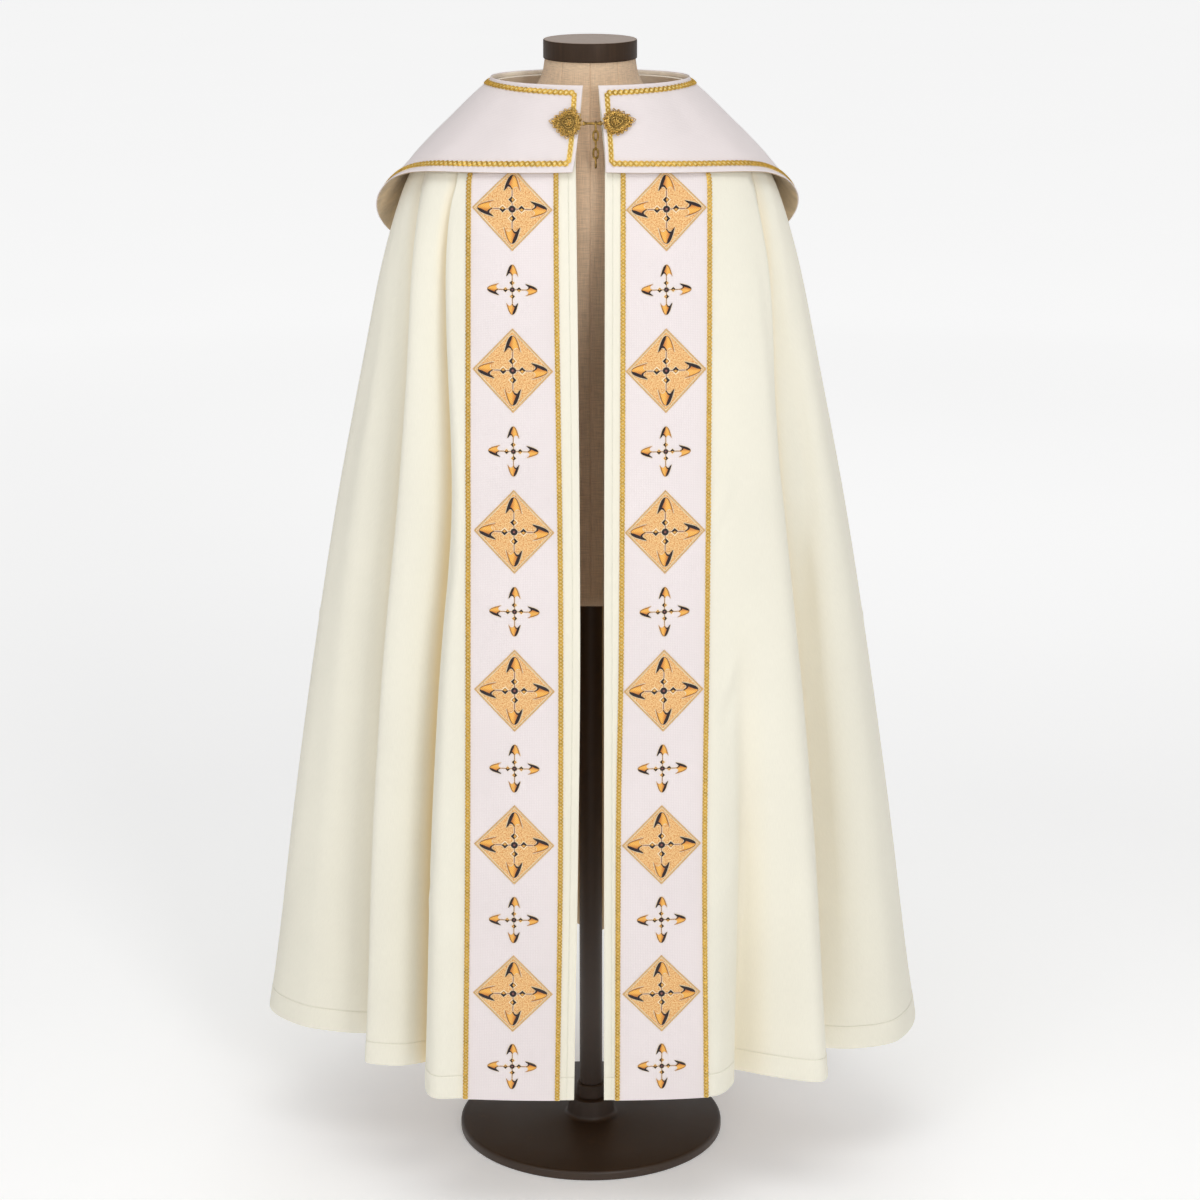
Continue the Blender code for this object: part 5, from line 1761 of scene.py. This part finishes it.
def make_plate(plate):
    """A cast openwork rosette: leaves round its rim, scrolls, a flower and a pointed tip."""
    pile = Pile()
    cast = Casting(pile, plate)
    leaf_half = math.pi / LEAF_COUNT

    def spot(share, angle, height):
        radius = plate_outline(plate, angle) * share
        return spots(radius * np.cos(angle), radius * np.sin(angle), height)

    # the pierced back, scalloped under the leaves
    turn = np.linspace(0.0, 2.0 * np.pi, 97)
    angle, share = np.meshgrid(turn, [0.10, 0.45, 0.72, 0.88], indexing="xy")
    scallop = 1.0 - 0.07 * (1.0 - np.cos(LEAF_COUNT * angle)) * (share > 0.8)
    face = spot(share * scallop, angle, 1.3 - 0.8 * share)
    back = spot(share * scallop, angle, 0.1)
    pile.shell(cast.out(face), cast.out(back), face[..., :2] * 0.001, 1)
    # leaves round the rim: a pointed loop, its vein and the bead that joins it to the next
    leaf = np.array([(0.70, 0.30), (0.78, 0.78), (0.86, 0.80), (0.93, 0.46), (1.0, 0.0),
                     (0.93, -0.46), (0.86, -0.80), (0.78, -0.78), (0.70, -0.30)])
    vein, vein_height, vein_girth = np.array([(0.70, 0.80, 0.90), (1.2, 1.7, 1.2), (0.5, 1.05, 0.35)])
    for k in range(LEAF_COUNT):
        middle = 2.0 * math.pi * k / LEAF_COUNT
        grown = 1.0 if k % 2 == 0 else 0.96
        cast.wire(spot(leaf[:, 0] * grown, middle + leaf[:, 1] * leaf_half, 1.15), 0.62, False, 5)
        cast.wire(spot(vein, middle, vein_height), vein_girth)
        x, y, _ = spot(0.80, middle + leaf_half, 1.2)
        cast.bead(x, y, 1.3, 0.95, 0.8, 7, 5)
    for share, height, girth, lobes in ((0.69, 1.55, 0.62, 32.0), (0.33, 2.05, 0.50, 20.0)):
        loop = turns(64)
        cast.wire(spot(share, loop, height), girth * (1.0 + 0.25 * np.cos(lobes * loop)), True, 5)
    for k in range(SCROLL_COUNT):
        middle = 2.0 * math.pi * (k + 0.5) / SCROLL_COUNT
        size = 2.5 * plate_outline(plate, middle) / 20.0
        x, y, _ = spot(0.50, middle, 0.0)
        for hand in (1.0, -1.0):
            cast.wire(spiral(x, y, 1.75, middle + hand * 0.9, hand, size, 11), 0.52, False, 5)
        x, y, _ = spot(0.59, middle + math.pi / SCROLL_COUNT, 0.0)
        cast.bead(x, y, 1.6, 0.80, 0.9, 7, 5)
    petal, petal_height, petal_girth = np.array([(0.07, 0.16, 0.25), (2.3, 2.4, 2.0), (0.6, 1.15, 0.7)])
    for k in range(PETAL_COUNT):
        middle = 2.0 * math.pi * (k + 0.5) / PETAL_COUNT
        cast.wire(spot(petal, middle, petal_height), petal_girth, False, 7)
    cast.bead(0.0, 0.0, 2.8, 1.6, 0.8, 12, 7)
    # small rings that fill out the taper of the tip
    reach = float(plate_outline(plate, 0.0))
    loop = turns(10)
    for back_by, aside, size in ((8.6, 3.0, 1.8), (8.6, -3.0, 1.8), (5.0, 0.0, 1.6)):
        cast.wire(spots(reach - back_by + size * np.cos(loop), aside + size * 0.8 * np.sin(loop), 1.35),
                  0.55, True, 5)
        cast.bead(reach - back_by, aside, 1.2, 0.8, 0.8, 7, 5)
    finishes = [brass("antique_brass"), brass("tarnished_brass")]
    return place(plate.name, pile, finishes, [plate.name], "clasp_brass", 50.0)


HOOK_WIRE = 0.0017       # half the thickness of the hook's wire
LINK_WIRE = 0.0014       # and of a link's
# The hook's swellings: shares of its length, and shares of its wire.
HOOK_SWELLS = ((0.0, 0.07, 0.16, 0.24, 0.78, 0.88, 0.95, 1.0), (1.7, 1.7, 1.1, 1.0, 1.0, 1.5, 1.5, 1.1))


def half_box(node):
    """Middle of a solid's box in the script's own co-ordinates, and half its size."""
    low, high = (np.array(corner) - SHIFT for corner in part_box(node))
    return (low + high) / 2.0, (high - low) / 2.0


def brass_wire(name, points, up, radius, closed, sides=10):
    pile = Pile()
    pile.tube(points, np.broadcast_to(up, np.shape(points)), radius, sides, closed)
    return place(name, pile, [brass("worn_brass_wire")], [name], "clasp_brass")


def make_hook():
    middle, half = half_box("clasp_hook")
    share = np.linspace(0.0, 1.0, 24)
    reach = np.array([half[0] - HOOK_WIRE * 0.3, 0.0, 0.0])
    bar = middle - reach + 2.0 * reach * share[:, None]
    girth = np.interp(share, *HOOK_SWELLS) * HOOK_WIRE
    return brass_wire("clasp_hook", bar, (0.0, 0.0, 1.0), girth, False, 12)


def make_eye():
    middle, half = half_box("clasp_eye")
    turn = turns(28)
    reach = half[1] - HOOK_WIRE
    ring = middle + spots(0.0, reach * np.cos(turn), reach * np.sin(turn))
    return brass_wire("clasp_eye", ring, (1.0, 0.0, 0.0), HOOK_WIRE * 0.8, True)


def make_link(name):
    """An oval link of the chain; each lies a quarter turn from the next."""
    middle, half = half_box(name)
    turn = turns(32)
    across, rise = np.cos(turn), np.sin(turn)
    across = (max(half[0], half[1]) * 1.12 - LINK_WIRE) * np.sign(across) * np.abs(across) ** 0.8
    rise = (half[2] - LINK_WIRE) * np.sign(rise) * np.abs(rise) ** 0.9
    if half[0] > half[1]:
        points, up = spots(across, 0.0, rise), (0.0, 1.0, 0.0)
    else:
        points, up = spots(0.0, across, rise), (1.0, 0.0, 0.0)
    return brass_wire(name, middle + points, up, LINK_WIRE, True, 8)


# --- form and stand ---

FORM_SEAMS = (0.0, 38.0, 118.0, 180.0, 242.0, 322.0)   # bearings of the cover's seams
FORM_SEAM_SINK = (0.0011, 0.42)      # how deep a seam is sunk, and its width in degrees


def make_torso():
    """The linen-covered torso and neck, with the sunk seams of its cover."""
    bearings = np.linspace(0.0, 360.0, 96, endpoint=False)
    extra = np.concatenate([np.array(FORM_SEAMS) + step for step in (-1.0, -0.5, 0.0, 0.5, 1.0)])
    bearings = np.unique(np.round(np.concatenate([bearings, extra % 360.0]), 3))
    tops = [row.height for row in FORM_SECTIONS]
    levels = np.unique(np.concatenate([np.linspace(tops[1], tops[-1], 110), tops[:2], [0.797, 0.800]]))
    rings = []
    for height in levels:
        radius = plain_radius(bearings, height, FORM_SECTIONS)
        sink = FORM_SEAM_SINK[0] * np.clip((height - 0.80) / 0.03, 0.0, 1.0)
        for seam in FORM_SEAMS:
            away = (bearings - seam + 180.0) % 360.0 - 180.0
            radius = radius - sink * np.exp(-(away / FORM_SEAM_SINK[1]) ** 2)
        rings.append(on_section(bearings, radius, height) + np.array([0.0, FORM_Y, 0.0]))
    rings = np.array(rings)
    count, around = rings.shape[:2]
    quads, _ = ring_faces(count, around)
    pile = Pile()
    pile.add(rings, np.roll(quads[:, ::-1], 1, axis=1), spots(np.radians(bearings) * 0.18, levels[:, None]))
    for ring_number, flip in ((0, 1), (count - 1, -1)):
        rim = np.arange(around) + ring_number * around - pile.count
        pile.add(rings[ring_number].mean(axis=0), spots(0, rim, np.roll(rim, -1))[:, ::flip])
    return place("form_torso", pile, [form_linen()], ["form_torso"], "form_linen", 50.0)


def turned_piece(name, profile, finish, slot, sides=96):
    """A turned piece through (radius, height) pairs, closed at both ends."""
    profile = np.array(profile, float)
    turn = turns(sides)
    radius, height = profile[:, :1], profile[:, 1:]
    pile = Pile()
    pile.rings(spots(radius * np.cos(turn), radius * np.sin(turn) + FORM_Y, height),
               spots(turn * 0.06, travelled(profile)[:, None]))
    return place(name, pile, [finish], [name], slot, 35.0)


QUARTER = [(math.cos(angle), math.sin(angle)) for angle in (math.pi / 2.0 * k / 5 for k in range(6))]


def rounded_foot(radius, height, bevel):
    """A quarter-round lower edge of a turned profile."""
    return [(radius - bevel + bevel * rise, height + bevel - bevel * out) for out, rise in QUARTER]


def rounded_top(radius, height, bevel):
    """A quarter-round upper edge of a turned profile."""
    return [(radius - bevel + bevel * out, height - bevel + bevel * rise) for out, rise in QUARTER]


def make_cap():
    low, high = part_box("neck_cap")
    radius = (high.x - low.x) / 2.0
    profile = (rounded_foot(radius, low.z, 0.0012) + rounded_top(radius, high.z, 0.0018)
               + [(radius * 0.7, high.z), (radius * 0.35, high.z)])
    return turned_piece("neck_cap", profile, cap_lacquer(), "form_cap")


def make_stand():
    low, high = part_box("stand_pole")
    radius = (high.x - low.x) / 2.0
    collar_top = low.z + 0.020
    pole = [(radius + 0.004, low.z), (radius + 0.004, collar_top - 0.0015), (radius + 0.0025, collar_top),
            (radius, collar_top + 0.0004), (radius, high.z - 0.012), (radius + 0.006, high.z - 0.010),
            (radius + 0.006, high.z)]
    pole_piece = turned_piece("stand_pole", pole, stand_paint(), "stand_metal")
    low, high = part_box("stand_base")
    wide = (high.x - low.x) / 2.0
    plate = 0.014
    hub = 0.033
    profile = rounded_foot(wide, low.z, 0.002) + rounded_top(wide, plate, 0.005)
    profile += [(wide * 0.72, plate + 0.0008), (wide * 0.45, plate + 0.0022)]
    profile += [(hub + 0.006 * (1.0 - rise), plate + 0.0038 + 0.0062 * (1.0 - out)) for out, rise in QUARTER]
    profile += rounded_top(hub - 0.003, high.z, 0.0015)
    base_piece = turned_piece("stand_base", profile, stand_paint(), "stand_metal")
    return pole_piece, base_piece


# --- the stage ---


WORLD_LIGHT = 0.41
# A softbox: its name, where it stands, its width and height, and its power in watts.
SOFTBOXES = (
    ("key_softbox", (1.5, -4.4, 2.4), (1.0, 1.4), 49.0),
    ("fill_softbox", (-2.6, -3.4, 2.2), (1.6, 1.8), 19.0),
    ("top_softbox", (0.0, -1.6, 4.0), (2.4, 1.6), 34.0),
    ("back_softbox", (0.5, 3.6, 3.2), (3.0, 2.0), 22.0),
)
LIGHT_AIM = (0.0, 0.0, 0.85)
FLOOR_DROP = 0.0005          # how far the floor lies under the stand
CAMERA_AT = (0.0119, -4.2075, 1.98)
CAMERA_TILT = 16.05          # degrees below level
CAMERA_LENS = 96.0           # in millimetres, on a 36 mm film
CAMERA_FAR = 200.0


def stage_object(name, data):
    thing = bpy.data.objects.new(name, data)
    bpy.context.scene.collection.objects.link(thing)
    return thing


def add_softbox(name, stands, size, power):
    lamp = bpy.data.lights.new(name, "AREA")
    lamp.shape = "RECTANGLE"
    lamp.size, lamp.size_y = size
    lamp.energy = power
    thing = stage_object(name, lamp)
    thing.location = stands
    thing.rotation_euler = (Vector(LIGHT_AIM) - Vector(stands)).to_track_quat("-Z", "Y").to_euler()


def make_stage():
    far = FLOOR_REACH
    mesh = bpy.data.meshes.new("floor")
    corners = [(-far, -far, 0.0), (far, -far, 0.0), (far, far, 0.0), (-far, far, 0.0)]
    mesh.from_pydata(corners, [], [(0, 1, 2, 3)])
    mesh.materials.append(self_lit_floor())
    stage_object("floor", mesh).location.z = -FLOOR_DROP

    world = bpy.data.worlds.new("soft_studio")
    world.use_nodes = True
    sky = world.node_tree.nodes["Background"]
    sky.inputs["Color"].default_value = (1.0, 1.0, 1.0, 1.0)
    sky.inputs["Strength"].default_value = WORLD_LIGHT
    bpy.context.scene.world = world
    for softbox in SOFTBOXES:
        add_softbox(*softbox)

    lens = bpy.data.cameras.new("front_camera")
    lens.lens = CAMERA_LENS
    lens.sensor_width = 36.0
    lens.clip_end = CAMERA_FAR
    camera = stage_object("front_camera", lens)
    camera.location = CAMERA_AT
    camera.rotation_euler = (math.radians(90.0 - CAMERA_TILT), 0.0, 0.0)
    bpy.context.scene.camera = camera
    bpy.context.scene.view_settings.view_transform = "Standard"


# --- add-on layout ---


def length_of(name, description, default, low, high):
    return bpy.props.FloatProperty(
        name=name, description=description, default=default, min=low, max=high,
        unit="LENGTH", subtype="DISTANCE")


class VestmentSizes(bpy.types.PropertyGroup):
    """Sizes of the vestment's trim and cloth."""

    cloth_cell: length_of(
        "Cloth cell", "Width of the main cloth's faces at the hem", 0.0090, 0.004, 0.03)
    crease_strength: bpy.props.FloatProperty(
        name="Crease strength", description="How deep the soft creases are; 1 is as made",
        default=1.0, min=0.0, max=2.0, subtype="FACTOR")
    stitch_length: length_of(
        "Stitch length", "Length of one topstitch", 0.0030, 0.0015, 0.006)
    braid_pitch: length_of(
        "Braid pitch", "Length of one loop of the gold braid", 0.0070, 0.004, 0.012)
    braid_thread: length_of(
        "Braid thread", "Half the thickness of the braid's wound thread", 0.00058, 0.0003, 0.001)
    lozenge_width: length_of(
        "Lozenge width", "Width of an embroidered lozenge, tip to tip", 0.1025, 0.06, 0.105)
    cross_reach: length_of(
        "Cross reach", "From the middle of a lozenge's cross to the end of an arm", 0.0441, 0.02, 0.046)


def colour_of(name, description, red, green, blue):
    return bpy.props.FloatVectorProperty(
        name=name, description=description, size=3, subtype="COLOR", min=0.0, max=1.0,
        default=linear(red, green, blue))


class VestmentColours(bpy.types.PropertyGroup):
    """Colours of the vestment and its stand."""

    main_cloth: colour_of("Main cloth", "Cream of the cope's main cloth", 242, 238, 222)
    white_cloth: colour_of("White cloth", "White of the orphreys and the collar", 238, 229, 228)
    lining: colour_of("Lining", "Taupe of the lining", 198, 173, 136)
    neck_facing: colour_of("Neck facing", "Pale facing inside the neck", 248, 238, 222)
    gold_braid: colour_of("Gold braid", "Metal thread of the braid", 230, 187, 84)
    field: colour_of("Lozenge field", "Light orange ground of a lozenge", 243, 201, 138)
    bud: colour_of("Bud", "Deep orange of the buds", 222, 140, 58)
    bud_light: colour_of("Bud light", "Light gold in the middle of a bud", 250, 186, 84)
    edge_thread: colour_of("Edge thread", "Pale thread round a lozenge and a bud", 250, 226, 188)
    dark_thread: colour_of("Dark thread", "Dark thread of the shades and rings", 38, 20, 22)
    link_thread: colour_of("Link thread", "Brown-pink thread that joins ring and buds", 158, 96, 84)
    linen: colour_of("Linen", "Natural linen of the dress form", 236, 206, 173)
    lacquer: colour_of("Lacquer", "Dark brown of the cap and the stand", 60, 42, 27)
    brass: colour_of("Brass", "Antique brass of the clasp", 198, 160, 88)
    floor: colour_of("Floor", "Plain pale floor", 250, 250, 250)


class PieceOperator(bpy.types.Operator):
    """Base of the operators: each makes its pieces and fails if one of them is empty."""

    bl_options = {"REGISTER", "UNDO"}

    def finish_with(self, *pieces):
        if not all(piece is not None and len(piece.data.vertices) for piece in pieces):
            raise RuntimeError(self.bl_label + " made an empty piece")
        return {"FINISHED"}


class VESTMENT_OT_form(PieceOperator):
    """Make the linen torso, its cap, and the pole and base it stands on."""

    bl_idname = "vestment.form"
    bl_label = "Dress form"

    def execute(self, context):
        return self.finish_with(make_torso(), make_cap(), *make_stand())


class VESTMENT_OT_cloth(PieceOperator):
    """Make the four gores of the main cloth, with their hems and topstitching."""

    bl_idname = "vestment.cloth"
    bl_label = "Main cloth"

    def execute(self, context):
        made = [make_gore(gore) for gore in GORES]
        lines = make_stitching()
        return self.finish_with(*lines, *made)


class VESTMENT_OT_orphreys(PieceOperator):
    """Make the two orphreys with their braids and embroidery."""

    bl_idname = "vestment.orphreys"
    bl_label = "Orphreys, braid and embroidery"

    def execute(self, context):
        made = []
        for side in ("left", "right"):
            band = make_orphrey(side)
            trims = [make_orphrey_braid(side, "inner"), make_orphrey_braid(side, "outer")]
            trims += make_embroidery(side)
            made += [band, *trims]
        return self.finish_with(*made)


class VESTMENT_OT_collar(PieceOperator):
    """Make the stiff collar, its satin lining and the braid all round it."""

    bl_idname = "vestment.collar"
    bl_label = "Collar"

    def execute(self, context):
        collar, lining = make_collar()
        braid = make_collar_braid()
        return self.finish_with(collar, lining, braid)


class VESTMENT_OT_clasp(PieceOperator):
    """Make the two filigree plates, the hook, the eye and the hanging chain."""

    bl_idname = "vestment.clasp"
    bl_label = "Clasp and chain"

    def execute(self, context):
        made = [make_plate(plate) for plate in PLATES] + [make_hook(), make_eye()]
        made += [make_link("chain_link_%d" % (number + 1)) for number in range(LINK_COUNT)]
        return self.finish_with(*made)


class VESTMENT_OT_stage(PieceOperator):
    """Make the floor, the soft lights and the camera."""

    bl_idname = "vestment.stage"
    bl_label = "Stage"

    def execute(self, context):
        make_stage()
        if context.scene.camera is None:
            raise RuntimeError("the stage has no camera")
        return {"FINISHED"}


OPERATORS = (
    VESTMENT_OT_form,
    VESTMENT_OT_cloth,
    VESTMENT_OT_orphreys,
    VESTMENT_OT_collar,
    VESTMENT_OT_clasp,
    VESTMENT_OT_stage,
)


class VESTMENT_PT_panel(bpy.types.Panel):
    """Lists the vestment's sizes, colours and pieces."""

    bl_idname = "VESTMENT_PT_panel"
    bl_label = "Vestment"
    bl_space_type = "VIEW_3D"
    bl_region_type = "UI"
    bl_category = "Vestment"

    def draw(self, context):
        for group in (context.scene.vestment_sizes, context.scene.vestment_colours):
            box = self.layout.box()
            for name in group.__annotations__:
                box.prop(group, name)
        for operator in OPERATORS:
            self.layout.operator(operator.bl_idname)


CLASSES = (VestmentSizes, VestmentColours, *OPERATORS, VESTMENT_PT_panel)


def register():
    for kind in CLASSES:
        bpy.utils.register_class(kind)
    bpy.types.Scene.vestment_sizes = bpy.props.PointerProperty(type=VestmentSizes)
    bpy.types.Scene.vestment_colours = bpy.props.PointerProperty(type=VestmentColours)


def unregister():
    del bpy.types.Scene.vestment_colours
    del bpy.types.Scene.vestment_sizes
    for kind in reversed(CLASSES):
        bpy.utils.unregister_class(kind)


def main():
    register()
    for operator in OPERATORS:
        group, name = operator.bl_idname.split(".")
        getattr(getattr(bpy.ops, group), name)()


if __name__ == "__main__":
    main()
